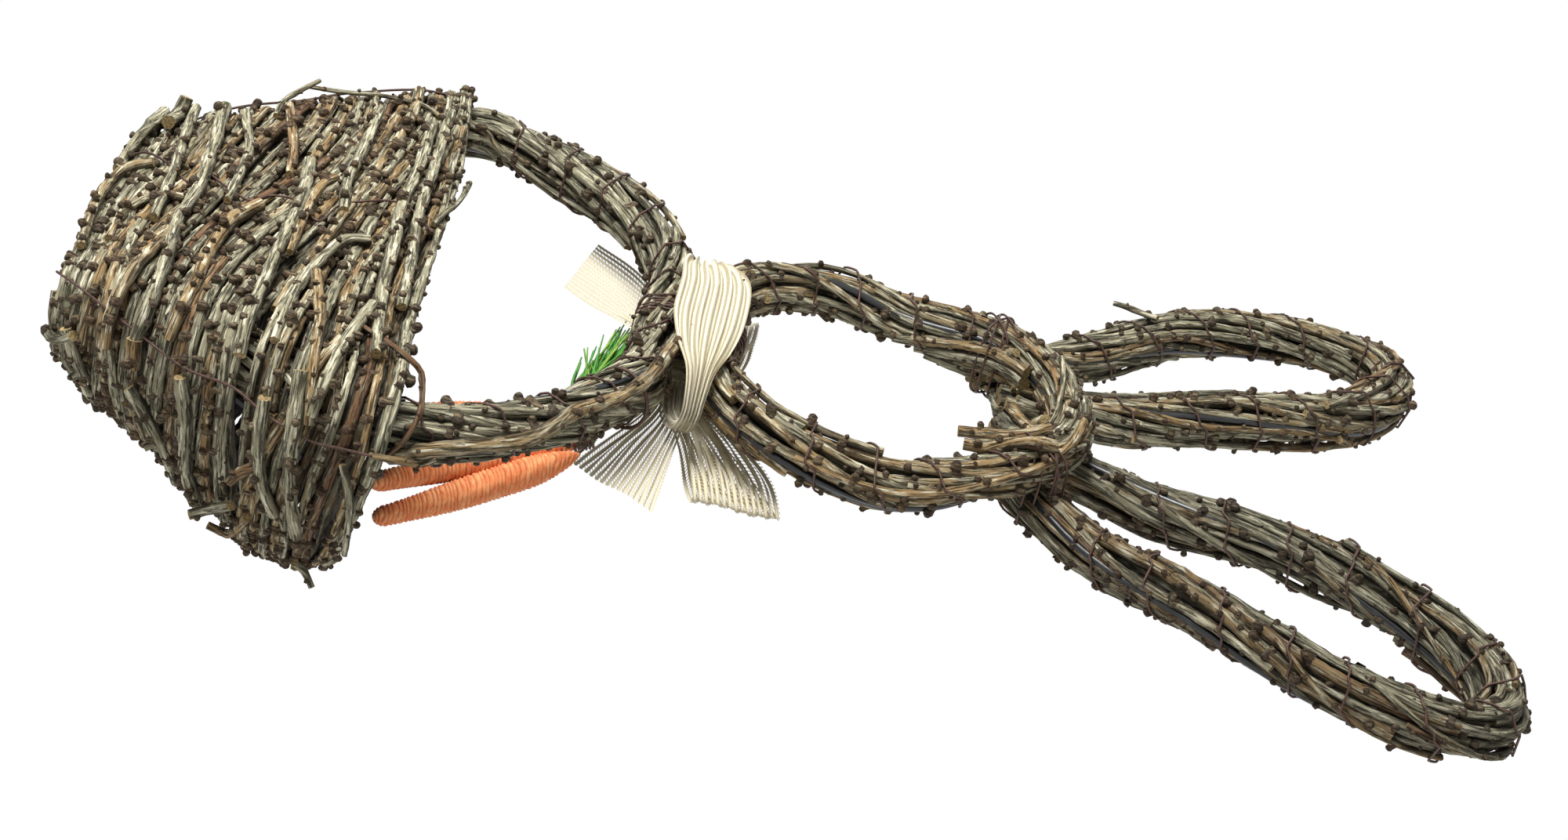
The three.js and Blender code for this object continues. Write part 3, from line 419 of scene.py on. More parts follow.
def ear_loop(name):
    """An ear: a long loop, open at its root, that leans on the back of the head hoop."""
    side, half_length, half_width, out_x, rise, tilt = EARS[name]
    axis = np.array([math.sin(tilt), 0, math.cos(tilt)])
    outward = np.array([math.cos(tilt), 0, -math.sin(tilt)])
    middle = np.array([out_x, 0, HEAD_FOOT + HEAD_HEIGHT + rise])
    opening = math.acos(0.86)
    angle = np.linspace(opening, TAU - opening, HALF_STEPS)[:, None]
    along = -np.cos(angle)
    across = -half_width * np.sin(angle) * (1 - 0.46 * np.cos(angle))
    points = middle + axis * half_length * along + outward * across
    forward = 2 * BUNDLE * 0.78 + 0.45 - HEAD_LEAN
    points[:, 1] = -forward * (1 - smooth(-0.5, 0.15, along[:, 0]))
    points[:, 0] *= side
    root = 1 - smooth(-0.95, -0.2, along[:, 0])
    points[:, 0] += 5.5 * root * smooth(-1.0, -0.9, along[:, 0])
    squeeze = lambda u: 1 - 0.2 * (1 - smooth(0.05, 0.14, np.minimum(u, 1 - u)))
    return Hoop(points, False, squeeze)


# Shares of the way round a level line of the pocket, from the back's right end
BACK_PART, CORNER_PART = 2 / 18, 3 / 18
FRONT_START, FRONT_END = BACK_PART + CORNER_PART, 1 - CORNER_PART
# How far the rim stands above a level line at places across the pocket
RIM_X, RIM_RISE = (-155, -120, -70, 35, 110, 150), (13, 11, 6, 1, -3, -9)


def pocket_point(f, z, grow):
    """A level line of the pocket: straight back, round corners and a bulging front."""
    f, z, grow = np.broadcast_arrays(*[np.asarray(v, float) for v in (np.mod(f, 1), z, grow)])
    k = pocket_share(z)
    left, right = pocket_half(z, LEFT_SIDE) + grow, pocket_half(z, RIGHT_SIDE) + grow
    grow = grow - 4.0 * smooth(0.86, 1.03, k)
    top_front = POCKET_DEPTH - 6
    front = top_front + (POCKET_BOTTOM_DEPTH - top_front) * (1.15 * k - 0.15 * k * k)
    front = front + 7 * np.sin(math.pi * np.clip(k, 0, 1)) + grow
    back = POCKET_BACK + grow
    turn_left = 0.5 * math.pi * (1 + (f - BACK_PART) / CORNER_PART)
    bow = math.pi * (f - FRONT_START) / (FRONT_END - FRONT_START)
    turn_right = 0.5 * math.pi * (f - FRONT_END) / CORNER_PART
    parts = [f < BACK_PART, f < FRONT_START, f < FRONT_END]
    flat = right - back + (2 * back - left - right) * f / BACK_PART
    front_x = -np.where(bow < math.pi / 2, left, right) * np.cos(bow)
    x = np.select(
        parts, [flat, back - left + back * np.cos(turn_left), front_x],
        right - back + back * np.cos(turn_right),
    )
    ys = [back, back * np.sin(turn_left), -front * np.sin(bow)]
    y = np.select(parts, ys, back * np.sin(turn_right))
    tilt = 0.12 * (1 - np.clip(k, 0, 1))
    rim = np.interp(x, RIM_X, RIM_RISE) * (1 - smooth(0, 0.45, k))
    x = x - 10 * smooth(80, 150, x) * (1 - smooth(0, 0.4, k))
    foot = -x * 0.045 * smooth(0.6, 1, k)
    corner = bell(f, 0.43, 0.1) * (6 * bell(k, 0.25, 0.2) - 8 * bell(k, 0, 0.09))
    y = y - 0.85 * corner
    x = x - 0.5 * corner
    return np.stack([x, y + pocket_lean(z), z + tilt * np.minimum(y, 0) + rim + foot], -1)


def pocket_ways(f, z):
    """The way out of the pocket's wall."""
    return unit(pocket_point(f, z, 1.5) - pocket_point(f, z, -1.5))


def pocket_table():
    """Shares of the way round the pocket at mid height, and the same places as its fractions."""
    f = np.linspace(0, 1, 2001)
    run = run_along(pocket_point(f[:-1], -30.0, 0.0))
    run = np.append(run, run[-1] + (run[-1] - run[-2]))
    return run / run[-1], f


SHARE_TABLE = pocket_table()


def fraction_at(share):
    return np.interp(np.mod(share, 1), *SHARE_TABLE)


def pocket_round(z):
    """The length of a level line of the pocket."""
    return 785 - 410 * pocket_share(z)


# Meshes


def corners(rows, across, closed=True):
    """Each point of a grid but its last row's, and the point beside it in its row."""
    k = np.arange(across if closed else across - 1)
    row = np.arange(rows - 1)[:, None] * across
    return (row + k).ravel(), (row + (k + 1) % across).ravel()


def grid_faces(rows, across, closed=True):
    """Triangles between the rows of a grid."""
    a, b = corners(rows, across, closed)
    halves = [(a, b, b + across), (a, b + across, a + across)]
    return np.vstack([np.stack(half, 1) for half in halves])


def fan_faces(first, sides, tip):
    """Triangles from a ring of points to one point."""
    k = np.arange(sides)
    return np.stack([first + k, first + (k + 1) % sides, np.full(sides, tip)], 1)


class Gathered:
    """Collects strands and knobs into one mesh, with the values that the finishes read.

    grain is a place in the material, along and across the strand. marks are four values:
    tone, knob, cut end and shade, which is a painted shade that darkens the colour.
    """

    def __init__(self, rng):
        self.rng = rng
        self.points, self.faces, self.grain, self.marks = [], [], [], []
        self.count = 0

    def add(self, points, faces, grain, marks):
        points = points.reshape(-1, 3)
        marks = np.asarray(marks, float).reshape(-1, 4)
        self.points.append(points)
        self.faces.append(faces + self.count)
        self.grain.append(grain.reshape(-1, 3))
        self.marks.append(np.broadcast_to(marks, (len(points), 4)))
        self.count += len(points)

    def strand(
        self, line, ways, radius, sides=6, step=2.0, tone=0.3, shade=1.0, under=1.0, rough=False
    ):
        """A round strand along a line, whose first side faces the given ways.

        radius is one number or a value for each point. A rough strand is uneven.
        under is how much of its colour the side that faces in keeps: painted shade that darkens
        that side.
        """
        radius = np.broadcast_to(np.asarray(radius, float), (len(line),))
        line, ways, radius = evenly(line, step, ways, radius[:, None])
        radius = radius[:, 0]
        rng, n = self.rng, len(line)
        tangent = unit(np.gradient(line, axis=0))
        across = unit(ways - (ways * tangent).sum(1, keepdims=True) * tangent)
        beside = np.cross(tangent, across)
        run = run_along(line)
        theta = np.arange(sides) * TAU / sides
        shape = np.ones((n, sides))
        if rough:
            turn = rng.uniform(0, TAU, 4)
            drift = rng.uniform(-0.035, 0.035, 4)
            for k, (waves, size) in enumerate(((2, 0.09), (3, 0.06), (5, 0.045))):
                shape += size * np.sin(waves * theta[None] + turn[k] + drift[k] * run[:, None])
            shape += 0.05 * np.sin(run / rng.uniform(3, 6) + turn[3])[:, None]
            shape += rng.normal(0, 0.035, (n, sides))
        size = radius[:, None] * shape
        out = turned(across[:, None], beside[:, None], theta[None])
        rings = line[:, None] + out * size[..., None]
        seed = rng.uniform(0, 900)
        along = np.repeat(run[:, None], sides, 1) + seed
        grain = np.stack([size * np.cos(theta), size * np.sin(theta), along], -1)
        marks = np.tile([tone, 0, 0, shade], (n, sides, 1))
        # Painted shade: the colour is darkened on the side of the strand that faces in
        marks[..., 3] *= under + (1 - under) * smooth(-0.3, 0.75, np.cos(theta))
        self.add(rings, grid_faces(n, sides), grain, marks)
        for at, flip in ((0, True), (n - 1, False)):
            self.cap(rings[at], line[at], grain[at], flip, (tone, 0, 1, shade))
        return line, tangent, across, beside, radius, run

    def cap(self, ring, middle, grain, flip, marks):
        """Closes an end with its own points, so that its edge stays sharp."""
        faces = fan_faces(0, len(ring), len(ring))
        faces = faces[:, ::-1] if flip else faces
        self.add(np.vstack([ring, middle]), faces, np.vstack([grain, grain.mean(0)]), marks)

    def twig(self, line, ways, radius, knob_step, knob, tone, shade=1.0):
        """A twig with short spurs on alternate sides, swollen at each of them."""
        rng = self.rng
        line, ways, radius = evenly(line, TWIG_STEP, ways, radius[:, None])
        run = run_along(line)
        at = np.cumsum(rng.uniform(0.35, 1.65, int(run[-1] / knob_step) + 2) * knob_step)
        at = at[at < run[-1] - 2]
        radius = radius[:, 0] * (1 + 0.16 * bell(run[:, None], at[None], 2.4).sum(1))
        line, tangent, across, beside, radius, run = self.strand(
            line, ways, radius, 8, TWIG_STEP, tone, shade, under=0.3, rough=True
        )
        if not knob or not len(at):
            return
        where = np.searchsorted(run, at).clip(1, len(run) - 2)
        angle = rng.uniform(-KNOB_FAN, KNOB_FAN, len(at)) * np.where(np.arange(len(at)) % 2, 1, -1)
        far = rng.random(len(at)) < 0.2
        angle[far] += math.pi
        out = turned(across[where], beside[where], angle)
        axis = unit(out + tangent[where] * rng.uniform(-0.1, 0.7, len(at))[:, None])
        foot = line[where] + out * radius[where][:, None] * 0.72
        size = knob * rng.uniform(0.55, 1.25, len(at)) * np.clip(radius[where] / 2.0, 0.75, 1.2)
        self.knobs(foot, axis, tangent[where], size, tone, shade)

    def knobs(self, foot, axis, beside, size, tone, shade):
        """Short barrel-shaped spurs with rounded tops."""
        rng, count, rings = self.rng, len(foot), len(KNOB_HEIGHTS)
        tall = rng.uniform(0.7, 1.35, count)
        side = unit(beside - (beside * axis).sum(1, keepdims=True) * axis)
        theta = np.arange(KNOB_SIDES) * TAU / KNOB_SIDES
        wide = KNOB_WIDTHS[:, None] * rng.uniform(0.82, 1.18, (count, rings, KNOB_SIDES))
        flat = turned(side[:, None, None], np.cross(axis, side)[:, None, None], theta)
        rise = KNOB_HEIGHTS * tall[:, None]
        points = foot[:, None, None] + size[:, None, None, None] * (
            flat * wide[..., None] + axis[:, None, None] * rise[:, :, None, None]
        )
        top = foot + axis * (size * tall * KNOB_TOP)[:, None]
        points = np.concatenate([points.reshape(count, -1, 3), top[:, None]], 1)
        last, tip = (rings - 1) * KNOB_SIDES, rings * KNOB_SIDES
        faces = np.vstack([grid_faces(rings, KNOB_SIDES), fan_faces(last, KNOB_SIDES, tip)])
        faces = (faces[None] + (np.arange(count) * (tip + 1))[:, None, None]).reshape(-1, 3)
        grain = points.reshape(-1, 3) + rng.uniform(0, 500, 3)
        self.add(points, faces, grain, (tone, 1, 0, shade))

    def made(self, name, material):
        """The object in metres, seen from the wall hook."""
        co = (np.vstack(self.points) - HANG) * MM
        faces = np.vstack(self.faces).astype(np.int32)
        mesh = bpy.data.meshes.new(name)
        mesh.vertices.add(len(co))
        mesh.vertices.foreach_set("co", co.astype(np.float32).ravel())
        mesh.loops.add(faces.size)
        mesh.loops.foreach_set("vertex_index", faces.ravel())
        mesh.polygons.add(len(faces))
        mesh.polygons.foreach_set("loop_start", np.arange(0, faces.size, 3, dtype=np.int32))
        mesh.update(calc_edges=True)
        mesh.shade_smooth()
        for key, kind, field, rows in (
            ("grain", "FLOAT_VECTOR", "vector", np.vstack(self.grain) * MM),
            ("marks", "FLOAT_COLOR", "color", np.vstack(self.marks)),
        ):
            values = mesh.attributes.new(key, kind, "POINT").data
            values.foreach_set(field, rows.astype(np.float32).ravel())
        mesh.materials.append(material)
        piece = bpy.data.objects.new(name, mesh)
        bpy.context.scene.collection.objects.link(piece)
        return piece


def place(gathered, name, finish_name, body, slot, *nodes):
    """Makes the object, lets it ride on its body and puts it in the place of its solids."""
    piece = gathered.made(name, finish(finish_name))
    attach(piece, body)
    if nodes:
        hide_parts(*nodes)
    return piece


def place_twigs(gathered, name, *nodes, slot="twig"):
    place(gathered, name, "bark", "basket", slot, *nodes)


def place_wire(gathered, name, node, body="basket"):
    place(gathered, name, "rusty_wire", body, "rust_wire", node)


# Finishes


class Num:
    """A number socket on which sums can be written as plain expressions."""

    def __init__(self, nodes, socket):
        self.nodes, self.socket = nodes, socket

    def __add__(self, other):
        return self.nodes.maths("ADD", self, other)

    def __sub__(self, other):
        return self.nodes.maths("SUBTRACT", self, other)

    def __rsub__(self, other):
        return self.nodes.maths("SUBTRACT", other, self)

    def __mul__(self, other):
        return self.nodes.maths("MULTIPLY", self, other)

    __radd__ = __add__
    __rmul__ = __mul__


class Nodes:
    """A node tree under construction."""

    def __init__(self, tree):
        self.tree = tree
        tree.nodes.clear()

    def node(self, kind, setup=None, **inputs):
        """Any node: its settings first, then values or links for its sockets."""
        made = self.tree.nodes.new(kind)
        for key, value in (setup or {}).items():
            setattr(made, key, value)
        for key, value in inputs.items():
            numbered = key[0] == "i" and key[1:].isdigit()
            self.put(made.inputs[int(key[1:]) if numbered else key.replace("_", " ")], value)
        return made

    def put(self, socket, value):
        value = value.socket if isinstance(value, Num) else value
        if isinstance(value, bpy.types.NodeSocket):
            self.tree.links.new(value, socket)
        elif socket.type == "RGBA":
            socket.default_value = (*value, 1)[:4]
        else:
            socket.default_value = value

    def maths(self, operation, *values):
        made = self.node("ShaderNodeMath", {"operation": operation})
        for socket, value in zip(made.inputs, values):
            self.put(socket, value)
        return Num(self, made.outputs[0])

    def backdrop_rays(self):
        """1 for the rays that are to see a white background: plain, mirrored or through glass."""
        path = self.node("ShaderNodeLightPath").outputs
        plain_or_mirrored = self.maths("MAXIMUM", path["Is Camera Ray"], path["Is Glossy Ray"])
        return self.maths("MAXIMUM", plain_or_mirrored, path["Is Transmission Ray"])


class Finish(Nodes):
    """A material under construction."""

    def __init__(self, name, **settings):
        self.material = bpy.data.materials.new(name)
        self.material.use_nodes = True
        super().__init__(self.material.node_tree)
        self.shader = self.node("ShaderNodeBsdfPrincipled", {}, **settings)
        self.end = self.node("ShaderNodeOutputMaterial", {}, Surface=self.shader.outputs[0])

    def mix(self, share, a, b, blend="MIX"):
        setup = {"data_type": "RGBA", "blend_type": blend}
        return self.node("ShaderNodeMix", setup, i0=share, i6=a, i7=b).outputs[2]

    def band(self, value, low, high):
        """0 below low, 1 above high and smooth between."""
        setup = {"interpolation_type": "SMOOTHSTEP"}
        made = self.node("ShaderNodeMapRange", setup, Value=value, From_Min=low, From_Max=high)
        return Num(self, made.outputs[0])

    def attribute(self, name):
        return self.node("ShaderNodeAttribute", {"attribute_name": name}).outputs

    def grain(self):
        return self.attribute("grain")["Vector"]

    def marks(self):
        """tone, knob, cut end and shade of the strands; the shade is painted shade."""
        found = self.attribute("marks")
        parts = self.node("ShaderNodeSeparateColor", {}, Color=found["Color"])
        return [Num(self, s) for s in (*parts.outputs[:3], found["Alpha"])]

    def stretched(self, vector, *scale):
        setup = {"operation": "MULTIPLY"}
        return self.node("ShaderNodeVectorMath", setup, i0=vector, i1=scale).outputs[0]

    def noise(self, vector, scale, detail=2.0, roughness=0.5):
        made = self.node(
            "ShaderNodeTexNoise", {}, Vector=vector, Scale=scale, Detail=detail, Roughness=roughness
        )
        return Num(self, made.outputs[0])

    def set(self, **links):
        for key, value in links.items():
            self.put(self.shader.inputs[key.replace("_", " ")], value)

    def bump(self, height, distance):
        bump = self.node("ShaderNodeBump", {}, Height=height, Distance=distance)
        self.set(Normal=bump.outputs[0])


def tinted(colour, share, lift=0.0):
    return tuple(min(1, share * v + lift) for v in colour)


def bark_finish(name):
    """Cracked and flaked bark, from grey through tan to brown, with dark spurs and cut ends."""
    c = colours()
    f = Finish(name, Roughness=0.85, Specular_IOR_Level=0.25)
    grain = f.grain()
    tone, knob, cut, shade = f.marks()
    cracks = f.noise(f.stretched(grain, 1, 1, 0.07), 1000, 3, 0.6)
    flakes = f.noise(f.stretched(grain, 1, 1, 0.13), 700, 4, 0.62)
    patches = f.noise(grain, 60)
    specks = f.noise(grain, 1900)
    grey = f.mix(f.band(flakes, 0.45, 0.68), c.bark_grey, c.lichen)
    tan = f.mix(f.band(flakes, 0.48, 0.7), c.bark_tan, c.lichen)
    brown = f.mix(f.band(flakes, 0.48, 0.72), c.bark_brown, c.bark_grey)
    mixed = tone + (patches - 0.5) * 0.5
    skin = f.mix(f.band(mixed, 0.34, 0.62), grey, tan)
    skin = f.mix(f.band(mixed, 0.66, 0.9), skin, brown)
    crack = f.band(cracks, 0.5, 0.36)
    skin = f.mix(crack * 0.8, skin, c.crevice)
    skin = f.mix(f.band(specks, 0.62, 0.72) * 0.5, skin, c.crevice)
    spur = f.mix(f.band(flakes, 0.45, 0.7) * 0.6, c.knob, c.bark_tan)
    skin = f.mix(knob * 0.9, skin, spur)
    wood = f.mix(f.band(specks, 0.4, 0.7) * 0.45, c.cut_wood, c.bark_tan)
    skin = f.mix(cut, skin, wood)
    # Painted shade: the shade mark darkens the colour, deepest on hidden twigs and on each twig's
    # side that faces in, with some random darkening from twig to twig
    shadow = f.node("ShaderNodeCombineColor", {}, Red=shade, Green=shade, Blue=shade).outputs[0]
    f.set(Base_Color=f.mix(1.0, skin, shadow, "MULTIPLY"), Roughness=0.72 + crack * 0.22)
    f.bump(flakes * 0.6 - crack + patches * 0.4, 0.0009)
    return f.material


def wire_finish(name):
    """Thin wire with a brown coat of rust."""
    rust = colours().rust
    f = Finish(name, Metallic=0.35, Roughness=0.5)
    grain = f.grain()
    stains = f.noise(grain, 260, 3, 0.6)
    pits = f.noise(grain, 2600)
    colour = f.mix(f.band(stains, 0.4, 0.62), tinted(rust, 0.45), rust)
    colour = f.mix(f.band(pits, 0.5, 0.7) * 0.6, colour, tinted(rust, 1.5))
    f.set(Base_Color=colour, Roughness=0.42 + stains * 0.35)
    f.bump(pits, 0.0001)
    return f.material


def frame_wire_finish(name):
    """Smooth black coating with scuffs along the wire."""
    black = colours().black
    f = Finish(name, Roughness=0.22)
    scuffs = f.noise(f.stretched(f.grain(), 1, 1, 0.15), 700, 3)
    colour = f.mix(f.band(scuffs, 0.56, 0.75) * 0.6, black, tinted(black, 3.2, 0.012))
    f.set(Base_Color=colour, Roughness=0.16 + scuffs * 0.24)
    f.bump(scuffs, 0.00008)
    return f.material


def solid_frame_finish(name):
    """The same black coating for the pocket's own wires, which are solids of the model."""
    black = colours().black
    f = Finish(name, Roughness=0.3)
    scuffs = f.noise(f.node("ShaderNodeTexCoord").outputs["Object"], 500, 3)
    colour = f.mix(f.band(scuffs, 0.56, 0.75), black, tinted(black, 3.2, 0.012))
    f.set(Base_Color=colour, Roughness=0.2 + scuffs * 0.3)
    return f.material


def ribbon_finish(name):
    """Cords along the ribbon with fine threads across the gaps between them."""
    c = colours()
    f = Finish(name, Roughness=0.9, Sheen_Weight=0.25, Sheen_Roughness=0.5)
    grain = f.grain()
    parts = f.node("ShaderNodeSeparateXYZ", {}, Vector=grain)
    across, along = Num(f, parts.outputs[0]), Num(f, parts.outputs[1])
    fibre = f.noise(f.stretched(grain, 1, 0.12, 1), 5200, 3, 0.6)
    slubs = f.noise(grain, 420)
    phase = across * (sizes().cords / sizes().ribbon * TAU)
    ridge = f.maths("COSINE", phase) * 0.5 + 0.5
    cord = f.band(ridge + (slubs - 0.5) * 0.25, 0.24, 0.42)
    weft = f.maths("SINE", along * (TAU / THREAD_PITCH) + f.maths("SINE", phase) * 1.6) * 0.5 + 0.5
    thread = f.band(weft, 0.42, 0.72)
    colour = f.mix(f.band(fibre, 0.38, 0.66) * 0.7, c.ribbon_shade, c.ribbon)
    # The cords' crests keep the pale cord colour and the colour darkens into the grooves: painted
    # shade over the threads' own colour
    pale = f.mix(f.band(ridge, 0.3, 0.95), colour, c.ribbon)
    # The first mark is painted shade that darkens the loops and tails towards the shade colour
    backlit_shade, open_weave = f.marks()[:2]
    solid = f.maths("MAXIMUM", f.maths("MAXIMUM", cord, thread * 0.7), 1 - open_weave)
    shade = f.band(ridge + (fibre - 0.5) * 0.5, 0.02, 0.4)
    pale = f.mix(shade * 0.6 + 0.4, c.ribbon_shade, pale)
    f.set(Base_Color=f.mix(backlit_shade, pale, c.ribbon_shade), Alpha=solid)
    f.bump(ridge + fibre * 0.6, 0.0004)
    return f.material


def twine_finish(name):
    """Fibrous orange twine, paler where it is worn, and darker deep in the grooves between its
    turns as painted shade.
    """
    c = colours()
    f = Finish(name, Roughness=0.72, Sheen_Weight=0.2)
    grain = f.grain()
    groove_shade = f.marks()[1]
    fibres = f.noise(f.stretched(grain, 1, 0.16, 1), 2600, 4, 0.65)
    blotches = f.noise(grain, 220, 3)
    colour = f.mix(f.band(fibres, 0.42, 0.72) * 0.75, c.carrot, c.carrot_pale)
    colour = f.mix(f.band(blotches, 0.45, 0.65) * 0.5, colour, c.carrot_pale)
    # Painted shade: darker deep in the grooves between the turns
    f.set(Base_Color=f.mix(f.band(groove_shade, 0.45, 1.0) * 0.8, colour, tinted(c.carrot, 0.42)))
    f.bump(fibres, 0.0003)
    return f.material


def grass_finish(name):
    """Blades from deep to yellow green, with darker streaks along them."""
    c = colours()
    f = Finish(name, Roughness=0.55)
    streaks = f.noise(f.stretched(f.grain(), 1, 1, 0.1), 2400)
    colour = f.mix(f.band(f.marks()[0], 0.35, 0.95), c.leaf, c.leaf_pale)
    colour = f.mix(f.band(streaks, 0.6, 0.35) * 0.6, colour, tinted(c.leaf, 0.45))
    f.set(Base_Color=colour, Roughness=0.45 + streaks * 0.25)
    return f.material


FINISHES = {}
MAKERS = {
    "bark": bark_finish,
    "rusty_wire": wire_finish,
    "black_wire": frame_wire_finish,
    "black_rib": solid_frame_finish,
    "ribbon": ribbon_finish,
    "twine": twine_finish,
    "grass": grass_finish,
}


def finish(name):
    if name not in FINISHES:
        FINISHES[name] = MAKERS[name](name)
    return FINISHES[name]


# Hoops


class Bundle(Gathered):
    """Twigs laid round a hoop, kept in a table so that a wire can be drawn tight round them."""

    STATIONS = 500

    def __init__(self, rng, hoop, shade):
        super().__init__(rng)
        self.hoop, self.shade = hoop, shade
        self.laid = []

    def lay(self, u, reach, angle, thick):
        """Notes where a twig runs beside the middle line."""
        reach = reach * self.hoop.scale(u)
        rows = [reach * np.cos(angle), reach * np.sin(angle), thick]
        for whole in (0, 1):
            at = np.linspace(0, 1, self.STATIONS) + whole
            self.laid.append([np.interp(at, u, row, left=np.nan, right=np.nan) for row in rows])

    def tight(self, u, angle, radius):
        """The line of a wire that touches the outermost twig at each angle."""
        at = np.mod(u, 1) if self.hoop.closed else np.clip(u, 0, 1)
        where = np.rint(at * (self.STATIONS - 1)).astype(int)
        a, b, thick = np.array(self.laid).transpose(1, 0, 2)[:, :, where]
        support = np.nan_to_num(a * np.cos(angle) + b * np.sin(angle) + thick, nan=-99.0)
        best = support.argmax(0), np.arange(len(u))
        point, out, wall = self.hoop.frame(u)
        far = thick[best] + radius
        across = (a[best] + far * np.cos(angle))[:, None]
        return point + out * across + wall * (b[best] + far * np.sin(angle))[:, None]

    def run(self, start, end, phase, reach_at, size, tone, shade, turns, knob=1.05):
        """One twig from start to end, whose butt stands out a little and whose tip tucks in."""
        rng, hoop = self.rng, self.hoop
        long = (end - start) * hoop.length
        u = np.linspace(start, end, max(8, int(long / 6)))
        t = np.linspace(0, 1, len(u))
        wander = 0.2 * np.sin(TAU * t * long / rng.uniform(90, 200) + rng.uniform(0, TAU))
        thick = size * (1.1 - 0.3 * t)
        ends = np.minimum(t, 1 - t) * long
        lift = 1.1 * np.exp(-ends / 9) * (t < 0.5) - 1.2 * np.exp(-ends / 16) * (t >= 0.5)
        waves = 0.5 * np.sin(t * long / rng.uniform(9, 16) + phase)
        reach = reach_at - thick + lift + waves
        angle = phase + TAU * turns * u + wander
        points, ways = hoop.round(u, reach, angle)
        self.lay(u, reach, angle, thick)
        knob_step, knob = HOOP_KNOB_STEP * sizes().knob_step / MM, knob * sizes().knob / MM
        self.twig(points, ways, thick, knob_step, knob, tone, shade * self.shade)


def round_bundle(bundle, lay, tones, extra, reddish):
    """Fills a bundle with an outer ring of twigs, a heart darkened with painted shade and thin
    twigs laid over.
    """
    rng, closed = bundle.rng, bundle.hoop.closed
    radius = sizes().hoop_twig / MM
    for k in range(RING_TWIGS):
        phase = TAU * (k + rng.normal(0, 0.12)) / RING_TWIGS
        start = rng.uniform(0, 0.5) if closed else rng.uniform(0, 0.015)
        end = start + 1 if closed else 1.0
        while start < end - 0.02:
            stop = min(start + rng.uniform(0.3, 0.6), end)
            if end - stop < 0.12:
                stop = end
            size = radius * rng.uniform(0.78, 1.25)
            tone = rng.uniform(*tones) + (reddish if rng.random() < 0.3 else 0)
            reach = BUNDLE + rng.uniform(-1.5, 0.7)
            bundle.run(start, stop, phase, reach, size, tone, rng.uniform(0.75, 1.0), lay)
            start = stop - 0.012
            if not closed and stop >= 1:
                break
    for k in range(HEART_TWIGS):
        # The heart's twigs are darkened as painted shade
        bundle.run(0, 1, TAU * k / HEART_TWIGS, 7.4, 2.9, 0.4, 0.5, lay, 0)
    for k in range(extra):
        start = rng.uniform(0, 0.75)
        stop = start + rng.uniform(0.12, 0.3)
        if not closed:
            stop = min(stop, 0.97)
        turns = lay + rng.choice([-1.5, -0.8, 0.8, 1.4])
        size = rng.uniform(1.1, 2.0)
        tone = rng.uniform(*tones) + reddish
        phase = rng.uniform(0, TAU)
        bundle.run(start, stop, phase, BUNDLE + 1.6 * size, size, tone, 0.95, turns)


def spiral(gathered, bundle, start, end, phase):
    """A binding wire drawn tight round a bundle, with turns of uneven width."""
    radius, pitch = sizes().binding / MM, sizes().binding_pitch / MM
    turns = max(1, int(round((end - start) * bundle.hoop.length / pitch)))
    t = np.linspace(0, 1, turns * 30)
    uneven = 0.5 * np.sin(t * turns * 1.7 + phase) + 0.4 * np.sin(t * turns * 0.73 + 2 * phase)
    u = start + (end - start) * (t + 0.32 * uneven / turns * np.sin(math.pi * t))
    line = bundle.tight(u, phase + TAU * turns * t, radius + 0.15)
    gathered.strand(line, unit(line - bundle.hoop.place(u)), radius, step=1.6)


# Where an ear's twigs run on past the tie, along the inside of the head hoop:
# the share of the way round the head hoop where they start and end, and how many there are
ROOTS = {"ear_right": (0.42, 0.27, 7), "ear_left": (0.565, 0.625, 5)}

# Twigs that run beside an ear's bundle and join it: shares of the way round, distances from the
# middle line, side in half turns, radius and tone
SPLIT_TWIGS = {
    "ear_right": ((0.075, 0.36, 21, 12.0, 0.0, 2.6, 0.55), (0.09, 0.4, 16, 12.0, 0.08, 2.2, 0.3)),
    "ear_left": (
        (0.06, 0.21, 19, 12.0, 0.0, 2.4, 0.2), (0.08, 0.25, 15, 12.0, -0.06, 2.2, 0.4),
        (0.95, 0.78, 19, 12.0, 1.0, 2.6, 0.3),
    ),
}


def root_twigs(gathered, start, end, count):
    """Ends of an ear's twigs that run on along the inside of the head hoop."""
    rng, head = gathered.rng, head_hoop()
    t = np.linspace(0, 1, 14)
    for k in range(count):
        stop = start + (end - start) * rng.uniform(0.45, 1.0)
        reach = BUNDLE + rng.uniform(0.5, 3.5) - 2 * (t - 0.5) ** 2
        angle = math.pi + rng.uniform(-0.9, 0.9) + 0.3 * t
        point, out, wall = head.frame(np.linspace(start, stop, 14))
        way = turned(out, wall, angle)
        thick = rng.uniform(1.9, 2.9) * (1.1 - 0.2 * t)
        gathered.twig(point + way * reach[:, None], way, thick, 16, 1.2, rng.uniform(0.2, 0.7), 0.9)


def split_twigs(twigs, name, shade):
    """Twigs that run beside a bundle and join it."""
    t = np.linspace(0, 1, 24)
    for start, stop, near, far, side, size, tone in SPLIT_TWIGS.get(name, ()):
        angle = np.full(24, side * math.pi)
        line, ways = twigs.hoop.round(start + (stop - start) * t, near + (far - near) * t, angle)
        twigs.twig(line, ways, size * (1.05 - 0.2 * t), 12, 1.5, tone, 0.95 * shade)


